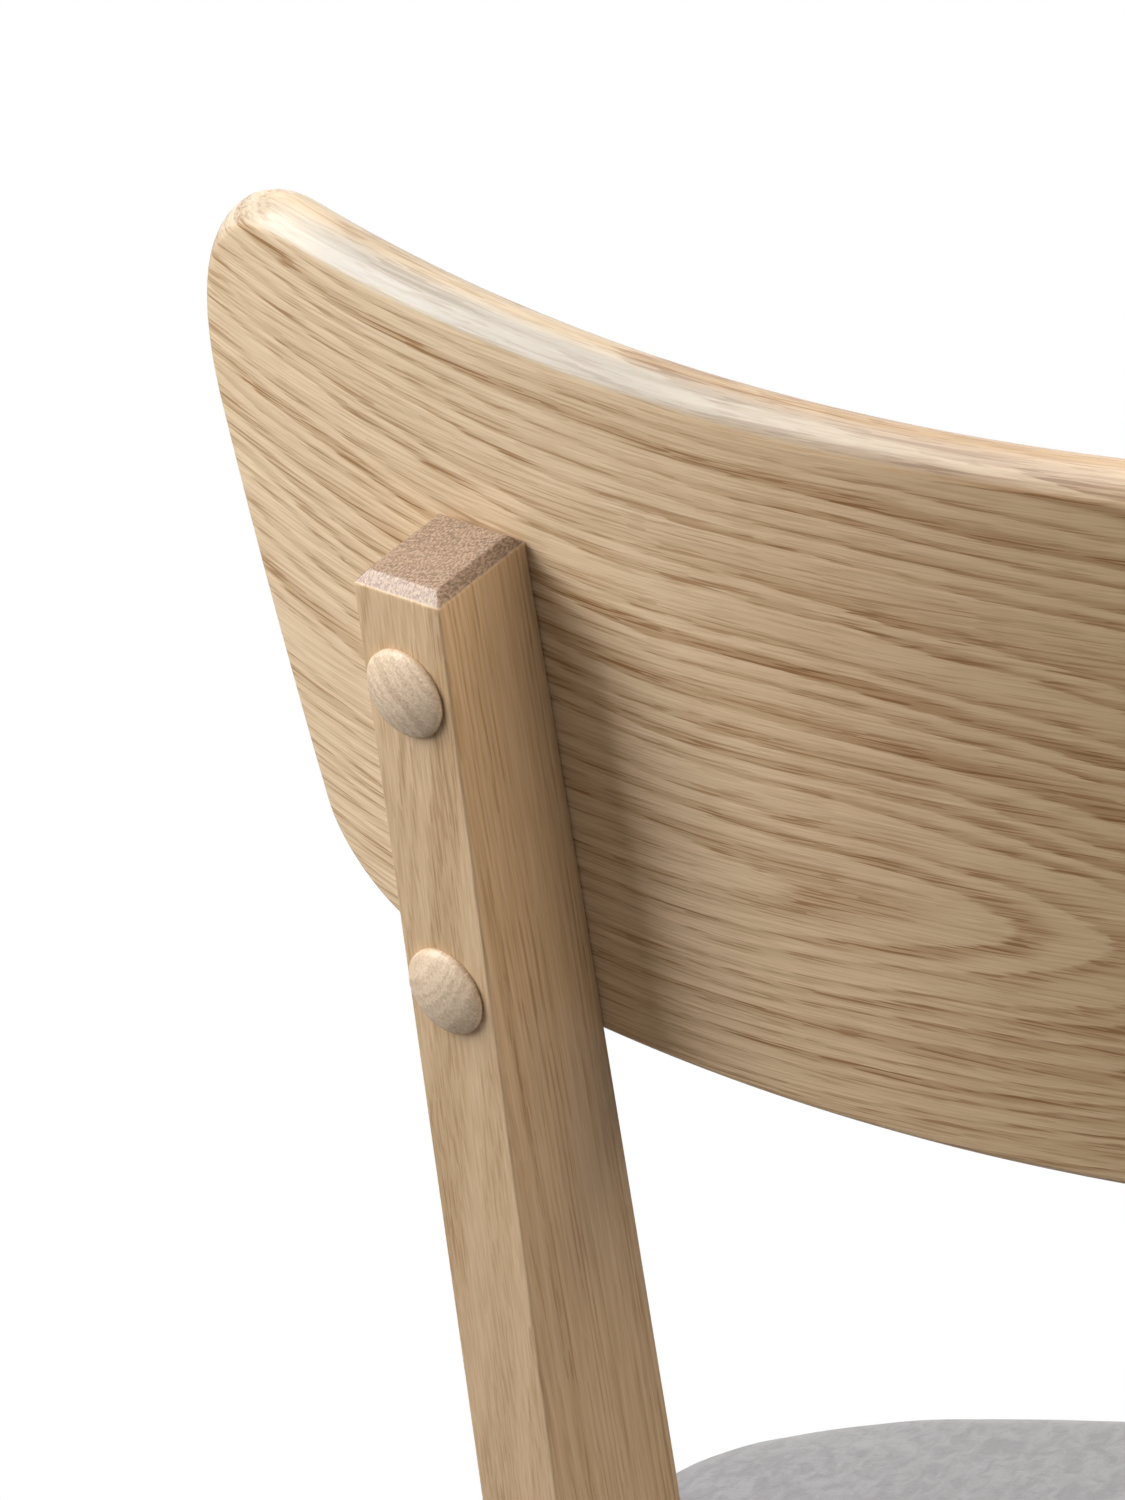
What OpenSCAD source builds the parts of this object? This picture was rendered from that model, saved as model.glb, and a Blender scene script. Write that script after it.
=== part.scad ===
// Dining chair of solid oak with a bowed back panel, screwed to two raked rear legs
// behind turned cover buttons, and a felt-covered seat pad on a doweled frame.
// Millimetres. +Z is up, the sitter faces -Y, +X is the sitter's left.
// The origin lies on the floor under the middle of the chair's outline.

/* [Back panel] */
// Lean of the back panel and of the front faces of the rear legs, in degrees
back_lean = 21; // [10:0.5:26]
// Height of the back's reference line, the level of the rear legs' tops on the panel
back_z = 756.6; // [720:0.1:820]
// Place of that line behind the middle of the chair
back_y = 227.5; // [200:0.5:260]
// Radius of the panel's rear face
panel_r = 455; // [400:1:600]
// Thickness of the panel
panel_t = 15; // [14:0.5:22]
// Reach of the panel above the reference line, at its middle
panel_up = 37.6; // [20:0.1:60]
// Reach of the panel below the reference line, at its middle
panel_down = 126.7; // [110:0.1:150]
// Half length of the panel, along its curve, at the reference line
panel_half = 239.5; // [200:0.5:280]
// Rise of the top edge at 100 mm from the middle
top_rise = 3.67; // [0:0.01:5]
// Rise of the bottom edge at 100 mm from the middle
bottom_rise = 2.21; // [0:0.01:4]
// Slant of the panel's ends, in degrees
end_slant = 5.2; // [0:0.1:12]
// Bow of the panel's ends, at 50 mm from the reference line
end_bow = 1; // [0:0.05:3]
// Width and height of the panel's upper corners
upper_corner = [36.5, 56.5]; // [15:0.5:70]
// Width and height of the panel's lower corners
lower_corner = [29, 24.5]; // [15:0.5:60]
// Width and depth of the rounding on the rear edge
rear_round = [4.3, 6.8]; // [1:0.1:8]
// Width of the rounding on the front edge
front_round = 10; // [3:0.5:12]

/* [Rear legs] */
// Angle from the panel's middle to each rear leg, in degrees
leg_angle = 20.2; // [14:0.1:26]
// Width of a rear leg
leg_w = 22.5; // [20:0.5:32]
// Depth of a rear leg at its top
leg_top_d = 25.5; // [22:0.5:34]
// Growth of that depth for each millimetre downwards
leg_taper = 0.0457; // [0:0.0001:0.06]
// Depth of a rear leg where the rails meet it
leg_block_d = 42; // [38:1:50]
// Depth of a rear leg at its foot
leg_foot_d = 27; // [22:1:36]
// Rounding of the legs' long edges
leg_round = 1.6; // [0.5:0.1:3]
// Chamfer round the top of a rear leg
top_chamfer = 2.4; // [1:0.1:4]
// Slope of the rear leg's top, in degrees, rising to the panel
top_slope = 2.3; // [0:0.1:6]
// Slope of that top, in degrees, rising to the chair's middle
top_tilt = 1.7; // [0:0.1:4]
// Height at which the two straight parts of a rear leg would meet
kink_z = 513.5; // [500:0.5:540]
// Radius of the bend between them
bend_r = 200; // [120:5:260]
// Height at which the lower leg starts to kick back
kick_z = 340; // [320:1:350]
// How far the foot stands behind the leg's middle
kick_back = 73; // [40:1:90]
// How far the foot stands outside the leg's middle
kick_out = 11.5; // [0:0.5:25]

/* [Front legs] */
// Side of a front leg where the rails meet it
front_leg_w = 34; // [30:0.5:44]
// Side of a front leg at its foot
front_foot_w = 24; // [20:0.5:34]
// Distance of a front leg's middle from the chair's middle plane
front_leg_x = 184; // [170:1:195]
// Distance of a front leg's middle in front of the chair's middle
front_leg_y = 158; // [140:1:170]
// Splay of the front foot, outwards and forwards
front_splay = 7; // [0:0.5:20]

/* [Rails] */
// Height of the top of the rails
rail_z = 410; // [395:0.5:430]
// Height of a rail
rail_h = 60; // [45:1:70]
// Thickness of a rail
rail_t = 20; // [16:0.5:24]
// How far the front and side rails stand in from the front legs' outer faces
rail_set = 4; // [0:0.5:8]
// Room left under the folded felt, where the frame runs below it
felt_room = 2; // [1.7:0.1:4]

/* [Joints and screws] */
// Diameter of the rail dowels
dowel_d = 8; // [6:0.5:10]
// Depth of a dowel in a leg
dowel_leg = 10; // [8:0.5:12]
// Depth of a dowel in a rail
dowel_rail = 20; // [15:0.5:25]
// Height of the lower dowel above the rail's bottom, in the front and rear rails
dowel_low = 14; // [10:0.5:18]
// Step between the two dowels of a joint
dowel_step = 24; // [20:0.5:30]
// How much higher the side rails' dowels sit
dowel_shift = 9; // [8:0.5:12]
// Distances of the two back screws below the reference line
screw_down = [24.6, 93.9]; // [15:0.1:110]
// How far the back screws stand outwards from the leg's middle
screw_out = 0.6; // [0:0.1:2]
// Diameter of the back screws
back_screw_d = 6; // [5:0.5:6]
// Head diameter and head height of the back screws
back_head = [10, 3.5]; // [3:0.5:11]
// Depth of the counterbore for head and button
bore_depth = 11; // [10:0.5:14]
// Diameter of that counterbore
bore_d = 12; // [11:0.5:14]
// Diameter of the threaded inserts in the panel
insert_d = 9; // [8:0.5:10]
// Length of the threaded inserts
insert_l = 10; // [8:0.5:11]
// Diameter of the cover buttons
button_d = 19; // [16:0.2:21]
// Height of a button's rim
button_rim = 1.2; // [0.8:0.1:2.5]
// Height of the dome above the rim
button_dome = 2.4; // [1.5:0.1:4]
// Length of a button's stem
button_stem = 6.5; // [4:0.5:7]
// Running clearance round screws and pins
fit = 0.1; // [0.05:0.01:0.3]

/* [Corner blocks] */
// Height of a corner block
block_h = 30; // [24:1:34]
// Reach of a corner block along the front and rear rails
block_x = 66; // [60:1:75]
// Reach of a corner block along the side rails
block_y = 70; // [60:1:80]
// Diameter of the block screws
block_screw_d = 4; // [3:0.5:5]
// Length of the block screws
block_screw_l = 30; // [25:1:32]
// Diameter of the seat screws
seat_screw_d = 5; // [4:0.5:6]
// Place of the front seat screws, in from the front leg and from the front rail
front_hole_in = [18, 26]; // [12:1:34]
// Place of the rear seat screws, in from the rear leg and from the rear rail
rear_hole_in = [16.5, 38]; // [12:0.5:42]

/* [Seat pad] */
// Half width of the seat, at its widest
seat_half = 252; // [240:1:262]
// Reach of the seat in front of the chair's middle
seat_front = 239.5; // [225:0.5:255]
// Reach of the seat behind the chair's middle
seat_rear = 142.5; // [130:0.5:152]
// Radius of the seat's bowed front edge
seat_front_r = 508; // [450:2:700]
// Radius of the seat's bowed rear edge
seat_rear_r = 300; // [290:2:400]
// Radius of the seat's front corners
seat_corner_r = 93; // [70:1:110]
// Half width of the seat at its rear corners
seat_rear_half = 203; // [195:1:215]
// Radius of the seat's rear corners
seat_rear_corner_r = 46; // [40:1:55]
// Thickness of the plywood seat board
board_t = 12; // [9:0.5:15]
// Height of the seat's edge above the rails, without the crown
seat_edge_h = 38; // [32:0.5:50]
// Height of the crown above the edge
seat_crown = 6.5; // [3:0.5:12]
// Height of the seat's widest line above the rails
seat_bulge_h = 20; // [16:0.5:24]
// Width of the rounded shoulder
seat_shoulder = 16; // [10:0.5:22]
// Thickness of the felt
felt_t = 1.6; // [1:0.1:1.8]
// Width of the felt folded under the board
felt_fold = 18; // [14:0.5:22]
// Thickness of the dust cover
dust_t = 0.8; // [0.4:0.1:1.2]
// Number of staples round the felt
staple_count = 36; // [24:1:48]

/* [Feet] */
// Thickness of a foot glide
glide_h = 4; // [3:0.5:6]
// Diameter of a foot glide
glide_d = 18; // [14:0.5:20]
// Diameter of the glide's nail
nail_d = 2.4; // [2:0.1:3]
// Length of the glide's nail
nail_l = 16; // [12:1:22]

/* [Hidden] */
oak = "burlywood";
end_oak = "tan";
steel = "silver";
slice = 0.02;
corner_steps = 5;
small_fn = 32;
soft_gap = 0.3;

// Places that follow from the sizes above
rail_low = rail_z - rail_h;
lean_sin = sin(back_lean);
lean_cos = cos(back_lean);
leg_x = panel_r * sin(leg_angle);
leg_bow = panel_r * (cos(leg_angle) - 1);
leg_ref_y = back_y + leg_bow * lean_cos;
leg_ref_z = back_z - leg_bow * lean_sin;
kink_down = (leg_ref_z - kink_z) / lean_cos;
block_y0 = leg_ref_y - kink_down * lean_sin;
bend_tangent = bend_r * tan(back_lean / 2);
bend_low_z = kink_z - bend_tangent;
bend_down = kink_down - bend_tangent;
leg_bend_d = leg_top_d + leg_taper * bend_down;
taper_angle = atan(leg_taper);
out_dir = [cos(leg_angle), -sin(leg_angle)];
back_dir = [sin(leg_angle), cos(leg_angle)];
leg_mid = [leg_x, block_y0] + back_dir * leg_block_d / 2;
foot_mid = leg_mid + [kick_out, kick_back];
front_foot = [front_leg_x + front_splay, front_leg_y + front_splay];
front_face_y = -front_leg_y - front_leg_w / 2;
front_back_y = -front_leg_y + front_leg_w / 2;
front_inner_x = front_leg_x - front_leg_w / 2;
front_rail_y = front_face_y + rail_set + rail_t / 2;
rear_rail_y = (leg_mid - out_dir * leg_w / 2)[1];
side_front_x = front_leg_x + front_leg_w / 2 - rail_set - rail_t / 2;
side_start = [side_front_x, front_back_y];
side_end = [leg_x, block_y0];
side_len = norm(side_end - side_start);
side_turn = atan((side_start[0] - side_end[0]) / (side_end[1] - side_start[1]));
side_inner = rail_t / 2 / cos(side_turn);
function side_face_x(y) = side_front_x - (y - front_back_y) * tan(side_turn) - side_inner;

// Points of a rounded rectangle, counter-clockwise
function rounded(w, d, r) = [
    for (q = [0:3], k = [0:corner_steps])
    let (a = q * 90 + k * 90 / corner_steps,
         sx = (q == 0 || q == 3) ? 1 : -1,
         sy = q < 2 ? 1 : -1)
    [sx * (w / 2 - r) + r * cos(a), sy * (d / 2 - r) + r * sin(a)]
];

// Points of an arc by its normal angle, drawn in by inset
function arc_points(mid, r, a0, a1, first, steps, inset) = [
    for (k = [first:steps])
    let (a = a0 + (a1 - a0) * k / steps)
    mid + (r - inset) * [cos(a), sin(a)]
];

// A closed skin over rings of equal length, with a cap list at each end
function skin_faces(rings, n) = [
    for (r = [0:rings - 2], k = [0:n - 1], half = [0, 1])
    let (a = r * n + k, b = r * n + (k + 1) % n, c = a + n, d = b + n)
    half == 0 ? [a, d, b] : [a, c, d]
];
function flat(lists) = [for (l = lists, p = l) p];
function turned(list) = [for (k = [len(list) - 1:-1:0]) list[k]];

// A closed loft whose two ends close in a middle point each
module point_loft(rings, first_tip, last_tip) {
    n = len(rings[0]);
    count = len(rings);
    points = concat(flat(rings), [first_tip, last_tip]);
    first = count * n;
    last = first + 1;
    base = (count - 1) * n;
    faces = concat(
        skin_faces(count, n),
        [for (k = [0:n - 1]) [k, (k + 1) % n, first]],
        [for (k = [0:n - 1]) [base + (k + 1) % n, base + k, last]]
    );
    polyhedron(points, faces, convexity = 8);
}

// The back's own frame: X along the panel, Y backwards, Z up the lean
module back_frame() {
    translate([0, back_y, back_z]) rotate([-back_lean, 0, 0]) children();
}

// Frame on the front face of the left rear leg, at the reference line
module leg_frame() {
    back_frame()
        translate([leg_x, leg_bow, 0]) rotate([0, 0, -leg_angle]) children();
}

// Frame on the left rear leg's rear face, at a distance below the reference line,
// with Z pointing out of the wood
module button_frame(down) {
    leg_frame()
        translate([screw_out, leg_top_d + leg_taper * down, -down])
        rotate([-90 + taper_angle, 0, 0]) children();
}

module both_sides() {
    children();
    mirror([1, 0, 0]) children();
}

// Back panel: an outline on a cylinder, with rounded edges
function top_edge(s) = panel_up + top_rise * pow(s / 100, 2);
function bottom_edge(s) = -panel_down + bottom_rise * pow(s / 100, 2);
function end_edge(v) = panel_half + v * tan(end_slant) - end_bow * pow(v / 50, 2);
// A corner from one edge point to the next, bending towards the point where the edges meet
round_pull = 0.5523;
function corner(p0, meet, p3, steps) = [
    for (k = [1:steps])
    let (t = k / steps, u = 1 - t,
         p1 = p0 + round_pull * (meet - p0), p2 = p3 + round_pull * (meet - p3))
    u * u * u * p0 + 3 * u * u * t * p1 + 3 * u * t * t * p2 + t * t * t * p3
];
edge_steps = 12;
arc_steps = 8;
end_steps = 3;
meet_up = [end_edge(top_edge(panel_half)), top_edge(end_edge(top_edge(panel_half)))];
meet_down = [end_edge(bottom_edge(panel_half)), bottom_edge(end_edge(bottom_edge(panel_half)))];
upper_s = meet_up[0] - upper_corner[0];
upper_v = meet_up[1] - upper_corner[1];
lower_s = meet_down[0] - lower_corner[0];
lower_v = meet_down[1] + lower_corner[1];
half_line = concat(
    [for (k = [0:edge_steps]) let (s = upper_s * k / edge_steps) [s, top_edge(s)]],
    corner([upper_s, top_edge(upper_s)], meet_up, [end_edge(upper_v), upper_v], arc_steps),
    [for (k = [1:end_steps])
        let (v = upper_v + (lower_v - upper_v) * k / end_steps) [end_edge(v), v]],
    corner([end_edge(lower_v), lower_v], meet_down, [lower_s, bottom_edge(lower_s)], arc_steps),
    [for (k = [edge_steps - 1:-1:0]) let (s = lower_s * k / edge_steps) [s, bottom_edge(s)]]
);
half_n = len(half_line);
chain = half_n / 2;
function line_point(k) = k < 0 ? [-half_line[1][0], half_line[1][1]]
    : k >= half_n ? [-half_line[half_n - 2][0], half_line[half_n - 2][1]] : half_line[k];
function panel_half_outline(inset) = [
    for (k = [0:half_n - 1])
    let (t = line_point(k + 1) - line_point(k - 1))
    half_line[k] + inset * [t[1], -t[0]] / norm(t)
];
function panel_outline(inset) = let (h = panel_half_outline(inset), m = len(h))
    concat(h, [for (k = [m - 2:-1:1]) [-h[k][0], h[k][1]]]);
function on_panel(p, depth) = let (a = p[0] / panel_r * 180 / PI)
    [(panel_r - depth) * sin(a), (panel_r - depth) * cos(a) - panel_r, p[1]];
// Inset and depth of each ring, from the rear face over the edge to the front face
rear_steps = 4;
front_steps = 6;
panel_profile = concat(
    [[rear_round[0] + 1, 0]],
    [for (k = [0:rear_steps - 1]) let (a = 90 * k / rear_steps)
        [rear_round[0] * (1 - sin(a)), rear_round[1] * (1 - cos(a))]],
    [for (k = [0:front_steps]) let (a = 90 * k / front_steps)
        [front_round * (1 - cos(a)), rear_round[1] + (panel_t - rear_round[1]) * sin(a)]]
);
// Strips across the panel, from the top edge to the bottom edge
function ladder(base, n, turn) = [
    for (k = [0:chain - 2], side = [0, 1], half = [0, 1])
    let (last = 2 * chain - 1,
         t0 = side == 0 ? k : (n - k) % n,
         t1 = side == 0 ? k + 1 : n - k - 1,
         b0 = side == 0 ? last - k : (k == 0 ? last : n - last + k),
         b1 = side == 0 ? last - k - 1 : n - last + k + 1,
         f = half == 0 ? [t0, b0, t1] : [b0, b1, t1],
         g = (side == 0) == turn ? f : [f[0], f[2], f[1]])
    [for (q = g) base + q]
];
module panel_solid() {
    rings = turned([for (p = panel_profile) [for (q = panel_outline(p[0])) on_panel(q, p[1])]]);
    n = len(rings[0]);
    count = len(rings);
    polyhedron(
        flat(rings),
        concat(skin_faces(count, n), ladder(0, n, false), ladder((count - 1) * n, n, true)),
        convexity = 8
    );
}
module panel_bores() {
    for (down = screw_down)
        leg_frame() translate([screw_out, fit, -down])
            rotate([90, 0, 0]) cylinder(h = insert_l + 2 * fit, d = insert_d + 2 * fit, $fn = small_fn);
}
module back_panel() {
    color(oak) difference() {
        back_frame() panel_solid();
        both_sides() panel_bores();
    }
}

// Rear leg: rings from the foot over the bend to the chamfered top
function turn(p, a) = [p[0] * cos(a) - p[1] * sin(a), p[0] * sin(a) + p[1] * cos(a)];
function level_ring(mid, z, d) = [
    for (p = rounded(leg_w, d, leg_round)) let (q = mid + turn(p, -leg_angle)) [q[0], q[1], z]
];
bend_steps = 4;
function bend_ring(step) = let (
    a = back_lean * step / bend_steps,
    d = leg_block_d + (leg_bend_d - leg_block_d) * step / bend_steps)
    [for (p = rounded(leg_w, d, leg_round))
        let (q = turn([p[0], p[1] + d / 2], -leg_angle))
        [leg_x + q[0],
         block_y0 + bend_r * (1 - cos(a)) + q[1] * cos(a),
         bend_low_z + bend_r * sin(a) - q[1] * sin(a)]];
function from_leg(p) = let (q = [leg_x, leg_bow] + turn([p[0], p[1]], -leg_angle))
    [q[0], back_y + q[1] * lean_cos + p[2] * lean_sin, back_z - q[1] * lean_sin + p[2] * lean_cos];
function top_at(x, y) = -(y - leg_top_d / 2) * tan(top_slope) - x * tan(top_tilt);
function top_ring(down, inset, r) = let (d = leg_top_d + leg_taper * down)
    [for (p = rounded(leg_w - 2 * inset, d - 2 * inset, r))
        let (y = p[1] + d / 2) from_leg([p[0], y, top_at(p[0], y) - down])];
top_corner = 0.5;
module rear_leg_wood() {
    point_loft(
        concat(
            [level_ring(foot_mid, glide_h, leg_foot_d),
             level_ring(leg_mid, kick_z, leg_block_d)],
            [for (step = [0:bend_steps]) bend_ring(step)],
            [top_ring(top_chamfer, 0, leg_round), top_ring(0, top_chamfer, top_corner)]
        ),
        [foot_mid[0], foot_mid[1], glide_h],
        from_leg([0, leg_top_d / 2, 0])
    );
}
module back_bores() {
    for (down = screw_down) {
        deep = leg_top_d + leg_taper * down;
        leg_frame() translate([screw_out, deep + 2, -down]) rotate([90, 0, 0])
            cylinder(h = deep + 4, d = back_screw_d + 2 * fit, $fn = small_fn);
        leg_frame() translate([screw_out, deep + 2, -down]) rotate([90, 0, 0])
            cylinder(h = bore_depth + 2, d = bore_d, $fn = small_fn);
    }
}
module rear_leg_left() {
    color(oak) difference() {
        rear_leg_wood();
        back_bores();
        side_dowel_bores(side_len);
        rear_dowel_bores();
        translate([foot_mid[0], foot_mid[1], 0])
            cylinder(h = nail_l + fit, d = nail_d + 2 * fit, $fn = small_fn);
    }
}
module rear_leg_right() {
    mirror([1, 0, 0]) rear_leg_left();
}

// Front leg: square under the seat, tapered to the foot
shoulder_z = rail_low - 4;
module front_section(w, z, h) {
    translate([0, 0, z]) linear_extrude(height = h) polygon(rounded(w, w, 2 * leg_round));
}
module front_leg_left() {
    color(oak) difference() {
        union() {
            translate([front_leg_x, -front_leg_y, 0])
                front_section(front_leg_w, shoulder_z, rail_z - felt_room - shoulder_z);
            hull() {
                translate([front_leg_x, -front_leg_y, 0])
                    front_section(front_leg_w, shoulder_z, slice);
                translate([front_foot[0], -front_foot[1], 0])
                    front_section(front_foot_w, glide_h, slice);
            }
        }
        side_dowel_bores(0);
        front_dowel_bores();
        translate([front_foot[0], -front_foot[1], 0])
            cylinder(h = nail_l + fit, d = nail_d + 2 * fit, $fn = small_fn);
    }
}
module front_leg_right() {
    mirror([1, 0, 0]) front_leg_left();
}

// Dowel places: in the rails' own directions, two at each joint
module at_heights(low) {
    for (k = [0, 1]) translate([0, 0, rail_low + low + k * dowel_step]) children();
}
module side_axis(along) {
    translate([side_start[0], side_start[1], 0]) rotate([0, 0, side_turn])
        translate([0, along, 0]) children();
}
module dowel(extra) {
    r = dowel_d / 2 + extra;
    cylinder(h = dowel_leg + dowel_rail + 2 * extra, r = r, center = true, $fn = small_fn);
}
// The dowel's middle lies in the rail, so that it reaches dowel_leg into the leg
module side_dowels(along, extra) {
    towards_rail = along > 0 ? -1 : 1;
    at_heights(dowel_low + dowel_shift)
        side_axis(along + towards_rail * (dowel_rail - dowel_leg) / 2)
        rotate([90, 0, 0]) dowel(extra);
}
module side_dowel_bores(along) {
    side_dowels(along, fit);
}
module front_dowels(extra) {
    at_heights(dowel_low)
        translate([front_inner_x - (dowel_rail - dowel_leg) / 2, front_rail_y, 0])
        rotate([0, 90, 0]) dowel(extra);
}
module front_dowel_bores() {
    front_dowels(fit);
}
rear_joint_x = (leg_mid - out_dir * leg_w / 2)[0];
module rear_dowels(extra) {
    at_heights(dowel_low)
        translate([rear_joint_x - (dowel_rail - dowel_leg) / 2, rear_rail_y, 0])
        rotate([0, 90, 0]) dowel(extra);
}
module rear_dowel_bores() {
    rear_dowels(fit);
}
module rail_dowels() {
    color("wheat") both_sides() {
        side_dowels(0, 0);
        side_dowels(side_len, 0);
        front_dowels(0);
        rear_dowels(0);
    }
}

// Rails
module front_rail() {
    color(oak) difference() {
        translate([-front_inner_x, front_rail_y - rail_t / 2, rail_low])
            cube([2 * front_inner_x, rail_t, rail_h]);
        both_sides() {
            front_dowel_bores();
            block_screw_bores(1);
        }
    }
}
module leg_inner_side() {
    translate([leg_x, block_y0, 0]) rotate([0, 0, -leg_angle])
        translate([-leg_w / 2, -rail_t, 0]) cube([leg_w * 3, leg_block_d * 2, 2 * rail_z]);
}
module rear_rail() {
    low = rail_low;
    color(oak) difference() {
        translate([-leg_x, rear_rail_y - rail_t / 2, low])
            cube([2 * leg_x, rail_t, rail_h - felt_room]);
        both_sides() {
            leg_inner_side();
            rear_dowel_bores();
            block_screw_bores(-1);
        }
    }
}
module leg_front_side() {
    translate([leg_x, block_y0, 0]) rotate([0, 0, -leg_angle])
        translate([-leg_w * 3, 0, 0]) cube([leg_w * 6, leg_block_d, 2 * rail_z]);
}
module side_rail_left() {
    color(oak) difference() {
        side_axis(-rail_t) translate([-rail_t / 2, 0, rail_low])
            cube([rail_t, side_len + 2 * rail_t, rail_h]);
        leg_front_side();
        translate([0, front_face_y - rail_t, 0])
            cube([seat_half, front_back_y - front_face_y + rail_t, 2 * rail_z]);
        side_dowel_bores(0);
        side_dowel_bores(side_len);
        block_screw_bores(2);
        block_screw_bores(-2);
    }
}
module side_rail_right() {
    mirror([1, 0, 0]) side_rail_left();
}

// Corner blocks: cut to the rails' inner faces, clear of the legs
block_top = rail_z - felt_room;
block_low = block_top - block_h;
front_block_y = front_rail_y + rail_t / 2;
rear_block_y = rear_rail_y - rail_t / 2;
leg_clear = 0.5;
front_block = [
    [front_inner_x - block_x, front_block_y],
    [front_inner_x - leg_clear, front_block_y],
    [front_inner_x - leg_clear, front_back_y + leg_clear],
    [side_face_x(front_back_y + leg_clear), front_back_y + leg_clear],
    [side_face_x(front_back_y + block_y), front_back_y + block_y],
    [side_face_x(front_back_y + block_y) - rail_t / 2, front_back_y + block_y],
    [front_inner_x - block_x, front_block_y + rail_t / 2]
];
leg_corner = [leg_x, block_y0] - out_dir * leg_w / 2;
rear_block = [
    [leg_corner[0] - block_x, rear_block_y],
    [leg_corner[0] - leg_clear, rear_block_y],
    [leg_corner[0] - leg_clear, leg_corner[1] - leg_clear],
    [side_face_x(leg_corner[1] - 2 * leg_clear), leg_corner[1] - 2 * leg_clear],
    [side_face_x(rear_block_y - block_y), rear_block_y - block_y],
    [side_face_x(rear_block_y - block_y) - rail_t / 2, rear_block_y - block_y],
    [leg_corner[0] - block_x, rear_block_y - rail_t / 2]
];
// The four screw places of one side, each as its point on the rail's inner face and its turn
block_mid_z = (block_top + block_low) / 2;
wall_t = 12;
screw_inset = 22;
front_screw = [front_inner_x - block_x + screw_inset, front_block_y, 180];
rear_screw = [leg_corner[0] - block_x + screw_inset, rear_block_y, 0];
side_front_screw_y = front_back_y + block_y - screw_inset;
side_rear_screw_y = rear_block_y - block_y + screw_inset;
side_front_screw = [side_face_x(side_front_screw_y), side_front_screw_y, side_turn - 90];
side_rear_screw = [side_face_x(side_rear_screw_y), side_rear_screw_y, side_turn - 90];
function screw_place(which) =
    which == 1 ? front_screw : which == -1 ? rear_screw
    : which == 2 ? side_front_screw : side_rear_screw;
// Frame on the rail's inner face, with Z pointing into the rail
module block_screw_frame(which) {
    p = screw_place(which);
    translate([p[0], p[1], block_mid_z]) rotate([0, 0, p[2]]) rotate([-90, 0, 0]) children();
}
module block_screw_bores(which) {
    block_screw_frame(which) translate([0, 0, -wall_t])
        cylinder(h = block_screw_l + fit, d = block_screw_d + 2 * fit, $fn = small_fn);
}
module block_head_bore(which) {
    block_screw_frame(which) translate([0, 0, -wall_t - 2 * block_x])
        cylinder(h = 2 * block_x, d = 2.4 * block_screw_d, $fn = small_fn);
}
front_hole = [front_inner_x - front_hole_in[0], front_block_y + front_hole_in[1]];
rear_hole = [leg_corner[0] - rear_hole_in[0], rear_block_y - rear_hole_in[1]];
module block_wood(outline, hole, screws) {
    color("wheat") difference() {
        translate([0, 0, block_low]) linear_extrude(height = block_h) polygon(outline);
        translate([hole[0], hole[1], 0])
            cylinder(h = rail_z, d = seat_screw_d + 4 * fit, $fn = small_fn);
        for (which = screws) {
            block_screw_bores(which);
            block_head_bore(which);
        }
    }
}
module corner_block_front_left() {
    block_wood(front_block, front_hole, [1, 2]);
}
module corner_block_front_right() {
    mirror([1, 0, 0]) corner_block_front_left();
}
module corner_block_rear_left() {
    block_wood(rear_block, rear_hole, [-1, -2]);
}
module corner_block_rear_right() {
    mirror([1, 0, 0]) corner_block_rear_left();
}

// Fasteners
module pan_screw(d, l, head_d, head_h) {
    cylinder(h = l, d = d, $fn = small_fn);
    difference() {
        translate([0, 0, -head_h]) cylinder(h = head_h, d = head_d, $fn = small_fn);
        translate([0, 0, -head_h - 1]) cylinder(h = head_h / 2 + 1, d = d * 0.6, $fn = 6);
    }
}
module corner_block_screws() {
    color(steel) both_sides()
        for (which = [1, -1, 2, -2])
            block_screw_frame(which) translate([0, 0, -wall_t])
                pan_screw(block_screw_d, block_screw_l, 2 * block_screw_d, block_screw_d * 0.6);
}
module back_inserts() {
    color("goldenrod") both_sides()
        for (down = screw_down)
            leg_frame() translate([screw_out, -insert_l - fit, -down]) rotate([-90, 0, 0])
                difference() {
                    cylinder(h = insert_l, d = insert_d, $fn = small_fn);
                    translate([0, 0, -1])
                        cylinder(h = insert_l + 2, d = back_screw_d + 2 * fit, $fn = small_fn);
                }
}
module back_screws() {
    color(steel) both_sides()
        for (down = screw_down) {
            deep = leg_top_d + leg_taper * down - bore_depth;
            leg_frame() translate([screw_out, deep, -down]) rotate([90, 0, 0])
                pan_screw(back_screw_d, deep + insert_l - 1, back_head[0], back_head[1]);
        }
}
// Turned button: stem, rim and dome, the dome as a slice of a sphere
button_r = button_d / 2;
dome_r = (button_r * button_r + button_dome * button_dome) / (2 * button_dome);
module button_shape() {
    translate([0, 0, -button_stem])
        cylinder(h = button_stem, d = bore_d - 2 * fit, $fn = small_fn);
    cylinder(h = button_rim, d = button_d, $fn = 2 * small_fn);
    translate([0, 0, button_rim])
        rotate_extrude($fn = 2 * small_fn)
        intersection() {
            translate([0, button_dome - dome_r]) circle(r = dome_r, $fn = 8 * small_fn);
            square([button_r, button_dome]);
        }
}
module cover_buttons() {
    color(end_oak) both_sides()
        for (down = screw_down) button_frame(down) button_shape();
}

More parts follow.
